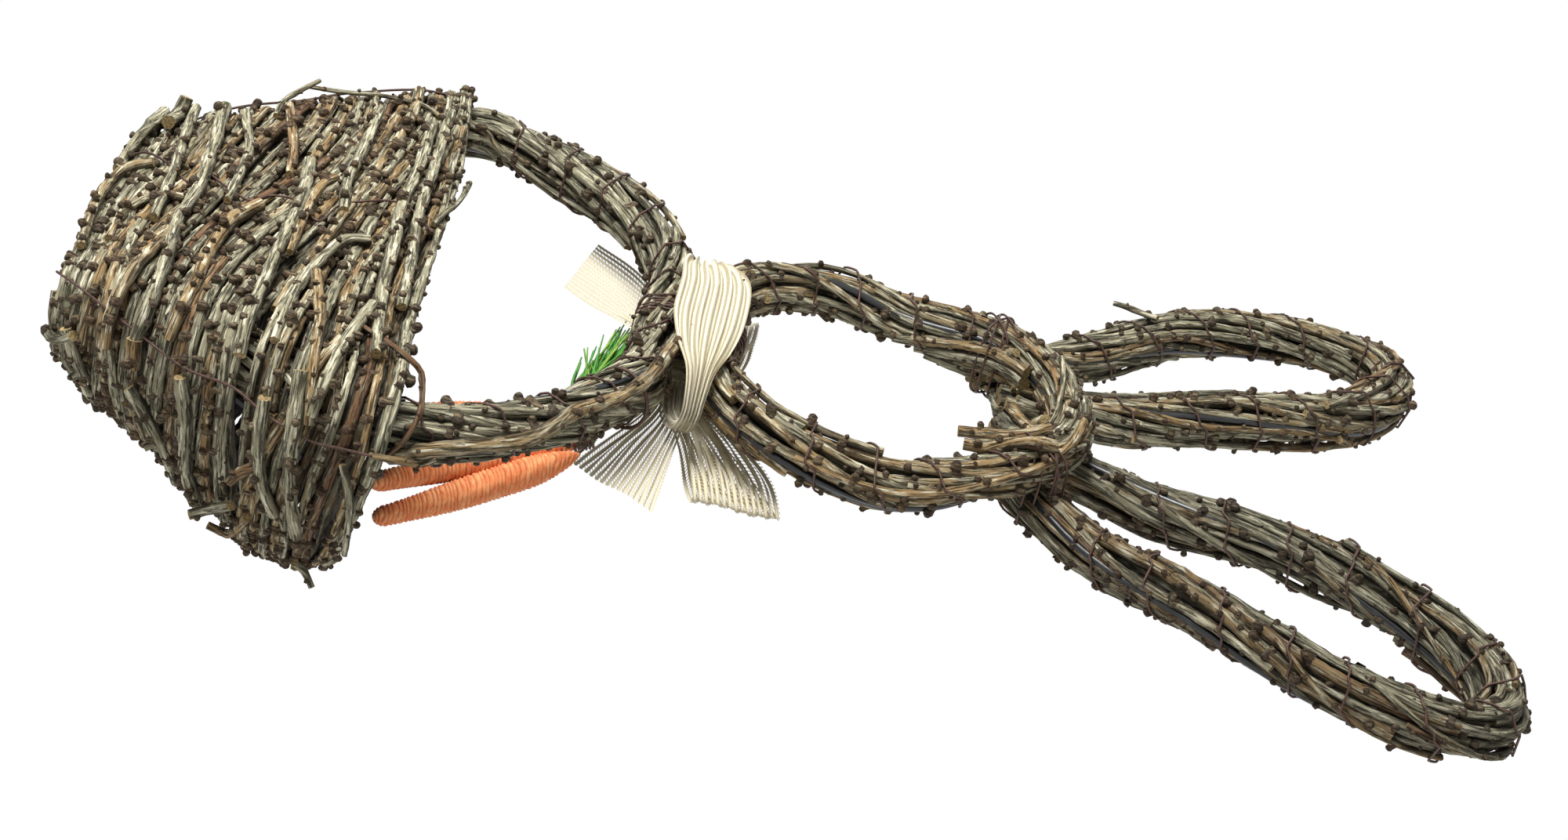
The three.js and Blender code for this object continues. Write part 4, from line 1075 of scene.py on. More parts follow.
def hoop_pieces(name, hoop, seed, lay, tones, extra, reddish, bound, core_angle, shade=1.0):
    """The twigs, the frame wire and the binding wire of one hoop, in the place of its solids.

    lay is how often the twigs turn round the bundle on their way, tones is the range of their
    tones, extra counts the twigs laid over, and bound is the part that the wire binds.
    """
    rng = np.random.default_rng(seed)
    twigs, core, wire = Bundle(rng, hoop, shade), Gathered(rng), Gathered(rng)
    round_bundle(twigs, lay, tones, extra, reddish)
    margin = 0.0 if hoop.closed else 0.01
    u = np.linspace(margin, 1 - margin, int(hoop.length / 4))
    radius = sizes().core / MM
    reach, angle = np.full(len(u), BUNDLE - radius - 0.4), core_angle + TAU * lay * u
    twigs.lay(u, reach, angle, np.full(len(u), radius))
    core.strand(*hoop.round(u, reach, angle), radius, 10, 3.0)
    if name in ROOTS:
        root_twigs(twigs, *ROOTS[name])
    split_twigs(twigs, name, shade)
    place_twigs(twigs, f"{name}_twigs", *[f"{name}_twig_{k + 1}" for k in range(SOLID_TWIGS)])
    node = f"{name}_core_wire"
    place(core, f"{name}_frame_wire", "black_wire", "basket", "frame_wire", node)
    spiral(wire, twigs, *bound, rng.uniform(0, TAU))
    place_wire(wire, f"{name}_binding_wire", f"{name}_binding")


class BASKET_OT_body_hoop(bpy.types.Operator):
    """Makes the round body hoop: twigs, frame wire and binding wire"""

    bl_idname = "basket.body_hoop"
    bl_label = "Body hoop"

    def execute(self, context):
        hoop_pieces(
            "body", body_hoop(), seed=11, lay=2, tones=(0.0, 0.4), extra=9, reddish=0.12,
            bound=(0.262, 0.738), core_angle=0.4, shade=0.95,
        )
        return {"FINISHED"}


class BASKET_OT_head_hoop(bpy.types.Operator):
    """Makes the head hoop: twigs, frame wire and binding wire"""

    bl_idname = "basket.head_hoop"
    bl_label = "Head hoop"

    def execute(self, context):
        hoop_pieces(
            "head", head_hoop(), seed=12, lay=1, tones=(0.0, 0.6), extra=12, reddish=0.2,
            bound=(-0.37, 0.37), core_angle=0.9,
        )
        return {"FINISHED"}


class BASKET_OT_ears(bpy.types.Operator):
    """Makes both ears: twigs, frame wires and binding wires"""

    bl_idname = "basket.ears"
    bl_label = "Ears"

    def execute(self, context):
        for name, seed, shade in (("ear_left", 13, 0.63), ("ear_right", 14, 0.92)):
            hoop_pieces(
                name, ear_loop(name), seed=seed, lay=1, tones=(0.05, 0.6), extra=9, reddish=0.2,
                bound=(0.1, 0.9), core_angle=1.2, shade=shade,
            )
        return {"FINISHED"}


# Pocket


def drift(s, z):
    """How the twigs slant together: down towards the left corner, then up again to the front."""
    k = np.clip(pocket_share(z), 0, 1)
    turn = np.interp(np.mod(s, 1), [0, 0.34, 0.7, 1], [0, 0.5, 0.9, 1])
    bunch = 1.7 * np.sin(TAU * 2.3 * s + z / 13) + 1.2 * np.sin(TAU * 4.1 * s - z / 8)
    return 14 * np.cos(TAU * turn) * math.sin(math.pi * k) ** 0.8 + bunch


def pocket_twig(gathered, share, length, z, slope, grow, radius, tone, shade, knob=1.0, bow=0.0):
    """A twig laid round the pocket's wall from a share of the way round it."""
    rng = gathered.rng
    t = np.linspace(0, 1, max(8, int(length / 4)))
    s = share + t * length / pocket_round(z)
    f = fraction_at(s)
    height = z + slope * (t - 0.5) + bow * np.sin(math.pi * t)
    height = height + drift(s, z) * rng.uniform(0.92, 1.08)
    height = height + 0.6 * np.sin(t * length / rng.uniform(14, 30) + rng.uniform(0, TAU))
    height = np.clip(height, FLOOR_Z + 0.5, MOUTH_Z + 1.5)
    ends = np.minimum(t, 1 - t) * length
    tuck = 1.8 * np.exp(-ends / 12) * np.where(t < 0.5, 1, -1)
    proud = grow + tuck + 0.6 * np.sin(t * length / rng.uniform(10, 25) + z)
    line = pocket_point(f, height, proud)
    padded = np.vstack([np.repeat(line[:1], 2, 0), line, np.repeat(line[-1:], 2, 0)])
    line = sum(w * padded[k: k + len(line)] for k, w in enumerate((0.1, 0.2, 0.4, 0.2, 0.1)))
    thick = radius * (1.14 - 0.36 * t)
    knob_step, knob = sizes().knob_step / MM, knob * sizes().knob / MM
    gathered.twig(line, pocket_ways(f, height), thick, knob_step, knob, tone, shade)


def pocket_wall(rng, first, last, loose):
    """The outer twigs of some rows, with loose ones laid over them."""
    outer = Gathered(rng)
    pitch, radius = sizes().row_pitch / MM, sizes().pocket_twig / MM
    for r in range(first, last):
        z = MOUTH_Z - r * pitch
        share = rng.uniform(0, 1)
        end = share + 1
        while share < end:
            length = rng.uniform(220, 480)
            tone = rng.beta(1.3, 2.4)
            size = radius * rng.uniform(0.72, 1.3)
            slope, grow = rng.normal(0, 1.8), rng.uniform(-0.5, 2.0)
            shade = rng.uniform(0.8, 1.0)
            pocket_twig(outer, share, length, z, slope, grow, size, tone, shade)
            share += (length - rng.uniform(5, 35)) / pocket_round(z)
    for k in range(loose):
        z = MOUTH_Z - rng.uniform(first, last) * pitch
        length = rng.uniform(140, 300)
        slope = rng.choice([-1, 1]) * rng.uniform(4, 15)
        size = rng.uniform(1.3, 2.3)
        share, tone, bow = rng.uniform(0, 1), rng.beta(2, 2), rng.normal(0, 7)
        pocket_twig(outer, share, length, z, slope, 3.0, size, tone, 1.0, bow=bow)
    return outer


def pocket_lining(rng):
    """The twigs behind the outer ones, which close the wall, darkened as painted shade."""
    inner = Gathered(rng)
    pitch, radius = sizes().row_pitch / MM, 1.25 * sizes().pocket_twig / MM
    for r in range(int(round((MOUTH_Z - FLOOR_Z) / pitch)) + 1):
        z = MOUTH_Z - (r + 0.3) * pitch
        share = rng.uniform(0, 1)
        end = share + 1
        while share < end:
            length = rng.uniform(200, 420)
            size = radius * rng.uniform(0.8, 1.15)
            slope, tone = rng.normal(0, 2), rng.uniform(0.1, 0.8)
            # Painted shade: the lining's colour is darkened to about a third
            pocket_twig(inner, share, length, z, slope, -3.4, size, tone, 0.34, 0)
            share += (length - 20) / pocket_round(z)
    return inner


def pocket_floor(rng):
    """Rings of twigs that close the pocket's floor, from its edge to its middle."""
    floor = Gathered(rng)
    half = (POCKET_BACK + POCKET_BOTTOM_DEPTH) / 2
    shift = (POCKET_RIGHT_HALF - POCKET_LEFT_HALF) / 2
    middle = np.array([shift, POCKET_BACK - half - POCKET_LEAN, FLOOR_Z])
    pitch = 0.55 * sizes().row_pitch / MM
    for r in range(int((half - 2) / pitch)):
        inset = (r + 0.6) * pitch
        around = 520 * (1 - inset / half) + 120
        share = rng.uniform(0, 1)
        end = share + 1
        while share < end:
            length = rng.uniform(120, 300)
            t = np.linspace(0, 1, max(6, int(length / 5)))
            s = share + t * length / around
            line = pocket_point(fraction_at(s), FLOOR_Z, 0.0)
            line = line + (middle - line) * (inset / half)
            line[:, 2] += rng.uniform(-1.5, 1.2) + 0.8 * np.sin(s * 17)
            size = rng.uniform(1.9, 2.8) * (1.12 - 0.3 * t)
            # The floor's twigs are a little darkened as painted shade
            floor.twig(line, np.tile(-Z, (len(t), 1)), size, 22, 1.3, rng.uniform(0.2, 0.8), 0.85)
            share += (length - 15) / around
    return floor


# Twigs that show on the pocket in the photograph: radius, tone and the pixels they pass
PLACED_TWIGS = (
    (3.0, 0.1, (287, 146), (273, 195), (254, 248), (228, 288), (212, 341), (197, 390), (179, 434)),
    (2.0, 0.5, (237, 259), (210, 255), (179, 264), (155, 284), (140, 310)),
    (2.2, 0.5, (197, 213), (161, 222), (134, 246), (116, 280), (106, 320)),
    (3.0, 0.55, (214, 303), (188, 332), (166, 363), (150, 399), (142, 440)),
    (2.7, 0.6, (332, 268), (296, 288), (267, 328), (250, 368), (232, 407), (221, 434)),
    (2.9, 0.05, (395, 215), (387, 253), (371, 292), (352, 332), (336, 372), (318, 412), (310, 456)),
    (2.1, 0.2, (471, 312), (440, 312), (414, 332), (387, 363), (365, 399), (350, 440)),
    (2.0, 0.6, (429, 233), (409, 244), (389, 279), (369, 328)),
    (2.4, 0.2, (484, 146), (464, 195), (444, 235), (438, 275)),
    (2.7, 0.1, (551, 164), (533, 222), (511, 270), (502, 319), (489, 368), (484, 407), (478, 460)),
    (2.5, 0.15, (573, 151), (551, 226), (531, 288), (522, 346), (511, 399)),
    (2.4, 0.2, (475, 396), (449, 430), (427, 469), (409, 509), (402, 531)),
    (2.2, 0.6, (402, 354), (407, 407), (402, 456), (400, 500), (398, 540)),
    (3.0, 0.1, (387, 478), (380, 545), (376, 589), (378, 642), (383, 677)),
    (2.8, 0.3, (343, 505), (336, 558), (340, 611), (356, 651)),
    (3.0, 0.7, (180, 430), (177, 466)),
    (2.8, 0.2, (237, 478), (243, 531), (243, 589), (259, 638)),
    (2.3, 0.3, (170, 491), (192, 527), (215, 570), (230, 610)),
    (2.2, 0.8, (332, 592), (314, 597), (298, 611)),
    (2.5, 0.3, (90, 416), (104, 456), (117, 483)),
    (2.5, 0.1, (250, 146), (232, 195), (220, 232), (196, 285)),
    (2.6, 0.2, (210, 142), (179, 182), (150, 224)),
    (2.3, 0.75, (369, 142), (374, 195), (369, 230)),
    (2.2, 0.2, (312, 151), (318, 195), (307, 226), (290, 262)),
)


class BASKET_OT_pocket(bpy.types.Operator):
    """Makes the pocket's wound twigs, inside and outside layer, and its floor"""

    bl_idname = "basket.pocket"
    bl_label = "Pocket"

    def execute(self, context):
        rng = np.random.default_rng(21)
        rows = int(round((MOUTH_Z - FLOOR_Z) / (sizes().row_pitch / MM))) + 1
        half = rows // 2
        for name, first, last, low in (("upper", 0, half, 0), ("lower", half, rows, 3)):
            nodes = [f"pocket_winding_{low + k + 1}" for k in range(3)]
            place_twigs(pocket_wall(rng, first, last, 7), f"pocket_{name}_twigs", *nodes)
        place_twigs(pocket_lining(rng), "pocket_inner_twigs", slot="dark_twig")
        crossing = laid_twigs(Gathered(rng), PLACED_TWIGS, 0.2, 9.0, 1.7, 1.0)
        place_twigs(crossing, "pocket_crossing_twigs")
        floor = pocket_floor(np.random.default_rng(22))
        place_twigs(floor, "pocket_floor_twigs", "pocket_floor_winding", slot="dark_twig")
        for name in ("pocket_rim_wire", "pocket_rib_1", "pocket_rib_2", "pocket_rib_3"):
            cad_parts[name].data.materials.clear()
            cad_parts[name].data.materials.append(finish("black_rib"))
        return {"FINISHED"}


# Pieces laid where the photograph shows them


def camera_axes():
    """The camera's right, down and ahead, square to each other."""
    ahead = unit(CAMERA_AHEAD)
    right = unit(CAMERA_RIGHT - (CAMERA_RIGHT @ ahead) * ahead)
    down = np.cross(ahead, right)
    return right, down * np.sign(down @ CAMERA_DOWN), ahead


def carrier_tree():
    """The outer faces of the pocket and the bundles, on which loose pieces are laid."""
    z = np.linspace(MOUTH_Z + 3, FLOOR_Z - 3, 30)
    f = fraction_at(np.linspace(0, 1, 120, endpoint=False))
    grids = [pocket_point(f[None], z[:, None], 3.2)]
    u = np.linspace(0, 1, 160)
    reach = np.full(160, BUNDLE + 0.3)
    turns = np.linspace(0, TAU, 20, endpoint=False)
    for hoop in (body_hoop(), head_hoop(), ear_loop("ear_left"), ear_loop("ear_right")):
        grids.append(np.stack([hoop.round(u, reach, np.full(160, a))[0] for a in turns], 1))
    points, faces = [], []
    for rows in grids:
        a, b = (at + len(points) for at in corners(*rows.shape[:2]))
        faces += np.stack([a, b, b + rows.shape[1], a + rows.shape[1]], 1).tolist()
        points += rows.reshape(-1, 3).tolist()
    return BVHTree.FromPolygons(points, faces)


def seen_at(tree, pixels, proud):
    """Places on the carriers that show at pixels of the photograph, and the ways out of them.

    A pixel beside the carriers gives the place on its ray that is nearest to them.
    """
    right, down, ahead = camera_axes()
    found = []
    for x, y in pixels:
        ray = (x - PHOTO[0] / 2) / FOCAL * right + (y - PHOTO[1] / 2) / FOCAL * down + ahead
        ray = unit(ray)
        hit, normal, _, _ = tree.ray_cast(Vector(CAMERA_AT), Vector(ray))
        if hit is None:
            gaps = [tree.find_nearest(Vector(CAMERA_AT + ray * r))[3] for r in RAY_REACHES]
            if found:
                last = (found[-1][0] - CAMERA_AT) @ ray
                gaps = np.array(gaps) + 0.3 * np.abs(RAY_REACHES - last)
            found.append((CAMERA_AT + ray * RAY_REACHES[np.argmin(gaps)], -ray))
        else:
            normal = np.array(normal)
            normal = -normal if normal @ ray > 0 else normal
            found.append((np.array(hit) + normal * proud, normal))
    return found


def laid_line(tree, pixels, proud):
    """A smooth line on the carriers through pixels of the photograph, with the ways out."""
    places = seen_at(tree, pixels, proud)
    steps = 12 * (len(places) - 1)
    line = through([p for p, _ in places], steps)
    ways = unit(through([w for _, w in places], steps))
    n = min(len(line), len(ways))
    return line[:n], ways[:n]


def laid_twigs(gathered, twigs, proud, knob_step, knob, shade):
    """Twigs from a list of radius, tone and pixels, laid on the carriers."""
    tree = carrier_tree()
    for radius, tone, *pixels in twigs:
        line, ways = laid_line(tree, pixels, radius + proud)
        thick = radius * (1.05 - 0.2 * np.linspace(0, 1, len(line)))
        gathered.twig(line, ways, thick, knob_step, knob, tone, shade)
    return gathered


# Wires laced over the pocket, as pixels of the photograph
LACING_PIXELS = {
    "left": [
        (75, 350), (110, 372), (180, 425), (240, 468), (300, 492), (345, 528), (400, 560),
        (440, 570), (478, 580),
    ],
    "back": [
        (150, 205), (185, 200), (212, 212), (240, 238), (262, 226), (290, 245), (320, 262),
        (345, 255), (380, 262), (405, 288), (432, 268), (470, 262), (505, 263), (530, 278),
        (550, 302),
    ],
}

# Loose twigs that show round the hoops and at the pocket's edges, in the same form
LOOSE_TWIGS = (
    (1.3, 0.3, (352, 152), (360, 135), (372, 122), (390, 112), (408, 103)),
    (1.1, 0.4, (560, 152), (540, 138), (490, 126), (440, 118), (395, 111)),
    (3.2, 0.3, (218, 165), (228, 146), (238, 124)),
    (1.5, 0.3, (440, 590), (448, 625), (449, 660), (443, 704)),
    (1.7, 0.3, (378, 712), (388, 728), (398, 750)),
    (2.0, 0.6, (320, 655), (298, 676), (265, 670)),
    (2.2, 0.2, (300, 640), (262, 652), (241, 657)),
    (1.2, 0.9, (461, 421), (499, 444), (532, 467), (538, 482), (535, 526), (518, 556),
     (495, 575), (476, 579)),
    (1.3, 0.6, (480, 581), (506, 588), (537, 593), (555, 582)),
    (1.2, 0.3, (552, 290), (566, 276), (585, 258), (600, 233)),
    (1.4, 0.4, (1475, 410), (1455, 399), (1437, 392), (1420, 387)),
    (2.4, 0.2, (100, 425), (76, 428), (57, 421)),
    (2.2, 0.3, (200, 560), (183, 571)),
    (1.8, 0.3, (110, 470), (90, 482)),
    (3.1, 0.55, (495, 582), (555, 569), (669, 556), (726, 529), (783, 510), (821, 488),
     (851, 450), (866, 416)),
    (2.6, 0.7, (1340, 556), (1300, 556), (1255, 553), (1222, 550)),
    (3.0, 0.6, (1340, 575), (1300, 574), (1262, 570), (1229, 566)),
    (2.4, 0.5, (1340, 540), (1300, 543), (1262, 543)),
    (2.2, 0.5, (1300, 452), (1237, 456), (1186, 452)),
    (3.0, 0.3, (1300, 560), (1278, 528), (1256, 496), (1226, 470), (1180, 450)),
    (2.6, 0.6, (1318, 560), (1290, 520), (1262, 482), (1230, 455)),
)


class BASKET_OT_lacing(bpy.types.Operator):
    """Makes the thin wires laced over the outside of the pocket"""

    bl_idname = "basket.lacing"
    bl_label = "Lacing wires"

    def execute(self, context):
        tree = carrier_tree()
        thin = sizes().binding / MM
        for name, pixels in LACING_PIXELS.items():
            wire = Gathered(np.random.default_rng(31))
            wire.strand(*laid_line(tree, pixels, 1.5 + thin), thin)
            place_wire(wire, f"pocket_{name}_lacing", f"pocket_lacing_{name}")
        right = Gathered(np.random.default_rng(32))
        t = np.linspace(0, 1, 60)
        f = 1 - 0.7 * CORNER_PART * t + 0.012 * np.sin(t * 19)
        z = MOUTH_Z + (FLOOR_Z - MOUTH_Z) * t
        right.strand(pocket_point(f, z, 4.2), pocket_ways(f, z), thin)
        place_wire(right, "pocket_right_lacing", "pocket_lacing_right")
        return {"FINISHED"}


class BASKET_OT_loose_twigs(bpy.types.Operator):
    """Makes the loose and broken twigs that stand off the pocket and the hoops"""

    bl_idname = "basket.loose_twigs"
    bl_label = "Loose twigs"

    def execute(self, context):
        loose = Gathered(np.random.default_rng(33))
        place_twigs(laid_twigs(loose, LOOSE_TWIGS, 0.3, 11.0, 1.5, 0.9), "loose_twigs")
        return {"FINISHED"}


# Ties


def oval(middle, normal, sideways, up, half_side, half_up, loops, pitch, rng):
    """Loops of wire round a squarish oval, with the ways out of it."""
    t = np.linspace(0, 1, loops * 28)
    angle = TAU * loops * t
    spread = lambda v: np.sign(v) * np.abs(v) ** 0.66
    wobble = 0.9 * np.sin(TAU * loops * t * 0.37 + rng.uniform(0, TAU))
    shift = pitch * loops * (t - 0.5) + wobble
    swell = 1 + 0.03 * np.sin(t * 23 + rng.uniform(0, TAU))
    line = middle + normal * shift[:, None] + (
        sideways * (half_side * swell * spread(np.cos(angle)))[:, None]
        + up * (half_up * swell * spread(np.sin(angle)))[:, None]
    )
    return line, turned(sideways, up, angle)


def ear_tie(rng, side, ear, head):
    """The wires round the place where an ear's root crosses the head hoop."""
    u, v = np.linspace(0.7, 1, 200), np.linspace(0.3, 0.7, 300)
    apart = (ear.place(u)[:, None] - head.place(v)[None])[..., [0, 2]]
    nearest = np.unravel_index(np.linalg.norm(apart, axis=-1).argmin(), (200, 300))
    on_ear, on_head = ear.place(u)[nearest[0]], head.place(v)[nearest[1]]
    tangent = unit(head.place(np.array([v[nearest[1]] + 0.01]))[0] - on_head)
    level = np.array([tangent[0], 0, tangent[2]]) * np.sign(tangent[2])
    normal = unit(level + np.array([side * 0.2, 0, 0.9]))
    sideways = np.cross(Y, normal)
    middle = (on_ear + on_head) / 2
    stack = abs(on_head[1] - on_ear[1]) / 2 + BUNDLE * 0.78 + 0.9
    tie = Gathered(rng)
    for turn, loops in EAR_TIE_LOOPS:
        way = unit(normal * math.cos(turn) + sideways * math.sin(turn))
        across = np.cross(Y, way)
        line, ways = oval(middle, way, across, Y, BUNDLE + 2.4, stack + 0.2, loops, 5.5, rng)
        tie.strand(line, ways, sizes().binding / MM)
    return tie


class BASKET_OT_ties(bpy.types.Operator):
    """Makes the wires that tie the hoops at the neck and the ears to the head"""

    bl_idname = "basket.ties"
    bl_label = "Ties"

    def execute(self, context):
        rng = np.random.default_rng(41)
        wire = Gathered(rng)
        half = BUNDLE * 0.88 + 0.9
        middle = np.array([0, 0, NECK_MIDDLE])
        line, ways = oval(middle, X, Y, Z, half, (HEAD_FOOT - NECK_Z) / 2 + half, 7, 1.7, rng)
        wire.strand(line, ways, sizes().binding / MM)
        place_wire(wire, "neck_tie", "neck_tie_wire")
        head = head_hoop()
        for side, name in ((-1, "ear_left"), (1, "ear_right")):
            place_wire(ear_tie(rng, side, ear_loop(name), head), f"{name}_tie", f"{name}_tie_wire")
        return {"FINISHED"}


# Ribbon

# The wrap's middle line with its width, from the knot round the right side, the back and the left
WRAP_PLACES = (
    (-1, -14.3, 143, 13), (30, -14.3, 143, 13), (50, -12, 143, 13), (58, 0, 144, 14),
    (51, 9, 145, 20),
    (38, 13.4, 147, 29), (20, 14.8, 149, 31), (-10, 14.8, 149, 31), (-34, 14.6, 149.5, 24),
    (-52, 13, 150.5, 13),
    (-64, 7, 151, 9), (-68, 0, 151, 8), (-63, -9, 149, 9), (-45, -14, 145, 12),
    (-19, -14.3, 143, 13),
)
# Two edges of each loop and tail, from the knot and, for a loop, back to it
RIBBON_EDGES = {
    "left_loop": (
        ((-19, -20, 139), (-45, -20, 150), (-70, -22, 156), (-83, -24, 159), (-86, -28, 160),
         (-70, -31, 156),
         (-45, -29, 150), (-19, -23, 139)),
        ((-19, -20, 151), (-45, -20, 175), (-65, -22, 190), (-81, -24, 196), (-84, -28, 197),
         (-65, -31, 191),
         (-45, -29, 176), (-19, -23, 151)),
    ),
    "right_loop": (
        ((-1, -20, 139), (25, -20, 138), (50, -22, 138), (70, -25, 140), (73, -29, 140),
         (50, -33, 139),
         (25, -30, 139), (-1, -23, 139)),
        ((-1, -20, 151), (20, -20, 166), (45, -21, 173), (67, -24, 174), (70, -28, 174),
         (45, -32, 173),
         (20, -29, 167), (-1, -23, 151)),
    ),
    "left_tail": (
        ((-19, -17, 139), (-45, -18, 133), (-70, -19, 121), (-95, -20, 110)),
        ((-19, -17, 149), (-45, -17, 150), (-80, -19, 148), (-112, -21, 146)),
    ),
    "right_tail": (
        ((-1, -17, 138), (16, -19, 132), (44, -24, 101), (61, -27, 84)),
        ((-1, -17, 149), (30, -19, 145), (84, -25, 119), (111, -27, 93)),
    ),
}


def ribbon_strip(gathered, low, high, open_weave):
    """A strip of ribbon between two edges, with folds that deepen where it is drawn together.

    Gives back the length of its middle line.
    """
    full, cords = sizes().ribbon / MM, sizes().cords
    middle = (low + high) / 2
    step = min(1.6, gaps_along(middle).sum() / 20)
    middle, low, high = evenly(middle, step, low, high)
    across = high - low
    wide = np.linalg.norm(across, axis=1, keepdims=True)
    face = unit(np.cross(np.gradient(middle, axis=0), across))
    share = np.linspace(-0.5, 0.5, cords * 6 + 1)
    run = run_along(middle)
    deep = np.sqrt(np.maximum(full**2 - wide**2, 0)) / (2 * RIBBON_FOLDS) * 0.62
    crease = np.sin(TAU * RIBBON_FOLDS * share + 0.4)[None] * deep
    ripple = 0.6 * np.sin(run / 11)[:, None] * np.sin(TAU * share * 1.5)[None]
    cord = 0.32 * np.cos(TAU * cords * (share + 0.5))[None]
    rows = low[:, None] + across[:, None] * (share + 0.5)[None, :, None]
    rows = rows + face[:, None] * (crease + ripple + cord)[..., None]
    grain = np.zeros(rows.shape)
    grain[..., 0] = (share * full)[None]
    grain[..., 1] = run[:, None]
    faces = grid_faces(*rows.shape[:2], closed=False)
    # The first mark is painted shade, deep on the open loops and tails and light on the wrap; the
    # second is how open the weave is
    gathered.add(rows, faces, grain, (0.6 * open_weave - 0.1, open_weave, 0, 1))
    return run[-1]


def ribbon_piece(name, low, high, node, open_weave=1.0):
    """A piece of ribbon between two edges."""
    ribbon = Gathered(np.random.default_rng(51))
    long = ribbon_strip(ribbon, low, high, open_weave)
    piece = place(ribbon, name, "ribbon", "basket", "jute_ribbon", node)


class BASKET_OT_ribbon(bpy.types.Operator):
    """Makes the ribbon: wrap round the neck, knot, two loops and two tails"""

    bl_idname = "basket.ribbon"
    bl_label = "Ribbon"

    def execute(self, context):
        wrap = through(WRAP_PLACES, 150)
        half = Z * wrap[:, 3:] / 2
        ribbon_piece(
            "ribbon_wrap_strip", wrap[:, :3] - half, wrap[:, :3] + half, "ribbon_wrap",
            CLOSE_WEAVE,
        )
        for name, edges in RIBBON_EDGES.items():
            side, kind = name.split("_")
            held, steps = ("gathered", 120) if kind == "loop" else ("hung", 60)
            low, high = (through(edge, steps) for edge in edges)
            node = f"ribbon_{kind}_{side}"
            ribbon_piece(f"ribbon_{name}", low, high, node)
        angle = np.linspace(0, TAU * 1.02, 60)
        ring = np.stack([0 * angle, 5.9 * np.cos(angle), 10.6 * np.sin(angle)], 1)
        line = np.array([-10, -18.6, NECK_MIDDLE]) + ring
        ribbon_piece(
            "ribbon_knot_wrap", line - 9 * X, line + 9 * X, "ribbon_knot",
            CLOSE_WEAVE,
        )
        return {"FINISHED"}


# Carrots

HOOK_AT = np.array([-68.16, 0, 122.29])
COLLAR = HOOK_AT + [8, -28, -9]
CARROT_LENGTH, CARROT_RADIUS = 90.0, 6.3
CARROT_APART = 11.0
CARROT_RINGS, CARROT_SIDES = 340, 44
# The way each carrot hangs
CARROTS = (
    ("front", (-0.2, -0.5, -0.84)),
    ("middle", (-0.27, -0.35, -0.89)),
    ("side", (-0.02, -0.22, -0.97)),
)
# Where the blades bend over the wire and where the longest of them end
GREENS_BEND, GREENS_TIP = np.array([-28, -30, 108]), np.array([46, -30, 125])


def carrot_profile(t):
    """The carrot's radius from its shoulder to its tip."""
    rise = np.sin(0.5 * math.pi * np.clip(t / 0.28, 0, 1)) ** 0.7
    fall = 1 - 0.36 * smooth(0.5, 1, t)
    end = np.sqrt(1 - np.clip((t - 0.94) / 0.06, 0, 1) ** 2)
    return CARROT_RADIUS * rise * fall * end


def carrot_foot(index, axis, below):
    """A place on a carrot's middle line, at a distance from the collar."""
    return COLLAR + (index - 1) * CARROT_APART * X + axis * below


def carrot(name, lean, index):
    """One carrot: twine wound from its shoulder to its tip, with uneven turns."""
    rng = np.random.default_rng(60 + index)
    axis = unit(np.array(lean))
    foot = carrot_foot(index, axis, 1.5)
    across = unit(np.cross(axis, Y))
    beside = np.cross(axis, across)
    pitch = sizes().twine_pitch / MM
    n, m = CARROT_RINGS, CARROT_SIDES
    t = np.linspace(0.002, 0.999, n)[:, None]
    theta = np.arange(m) * TAU / m
    slant = 3.4 * np.cos(theta + rng.uniform(0, TAU)) + 0.9 * np.sin(2 * theta + index)
    uneven = 0.9 * np.sin(t * 31 + rng.uniform(0, TAU))
    uneven = uneven + 0.6 * np.sin(t * 83) + 0.3 * np.sin(t * 190)
    turn = (t * CARROT_LENGTH + slant * 0.55 + uneven * 0.5) / pitch + theta / TAU
    wave = np.abs(np.sin(math.pi * turn))
    size = np.maximum(carrot_profile(t) + (wave**0.6 - 0.6) * smooth(0, 0.05, t), 0.25)
    size = size * (1 + 0.02 * np.sin(3 * theta + 9 * t))
    middle = foot + axis * CARROT_LENGTH * t + across * 2.0 * np.sin(math.pi * t) * (index - 1)
    rows = middle[:, None] + size[..., None] * turned(across, beside, theta)
    grain = np.stack([turn * pitch, size * theta, np.repeat(t * 3, m, 1) + index * 40], -1)
    # The second mark is painted shade, deepest in the grooves between the turns of twine
    marks = np.stack([np.full((n, m), 0.5), 1 - wave, np.zeros((n, m)), np.ones((n, m))], -1)
    gathered = Gathered(rng)
    gathered.add(rows, grid_faces(n, m), grain, marks)
    for ring, tip, flip in ((rows[0], foot, True), (rows[-1], rows[-1].mean(0), False)):
        gathered.cap(ring, tip, np.tile(grain[0, 0], (m, 1)), flip, (0.5, 0.3, 0, 1))
    nodes = f"carrot_{name}_core", f"carrot_{name}_twine"
    place(gathered, f"carrot_{name}", "twine", "carrots", "orange_twine", *nodes)


class BASKET_OT_carrots(bpy.types.Operator):
    """Makes the three twine carrots"""

    bl_idname = "basket.carrots"
    bl_label = "Carrots"

    def execute(self, context):
        for index, (name, lean) in enumerate(CARROTS):
            carrot(name, lean, index)
        return {"FINISHED"}


def grass_greens(rng):
    """Blades that rise from the collar, bend over the wire and fan out."""
    greens = Gathered(rng)
    for k in range(sizes().blades):
        reach = rng.uniform(0.45, 1.0) if k % 3 else rng.uniform(0.1, 0.6)
        bend = GREENS_BEND + rng.normal(0, (5, 2.5, 4))
        tip = bend + (GREENS_TIP - bend) * reach + rng.normal(0, (4, 3, 7))
        line = through([COLLAR + rng.normal(0, 1.4, 3), bend, tip], 14)
        size = 0.85 * (1 - 0.6 * np.linspace(0, 1, len(line)) ** 2)
        tone = 0.95 if rng.random() < 0.15 else rng.uniform(0.1, 0.7)
        ways = np.tile(unit(rng.normal(0, 1, 3)), (len(line), 1))
        greens.strand(line, ways, size, 4, 6.0, tone)
    return greens


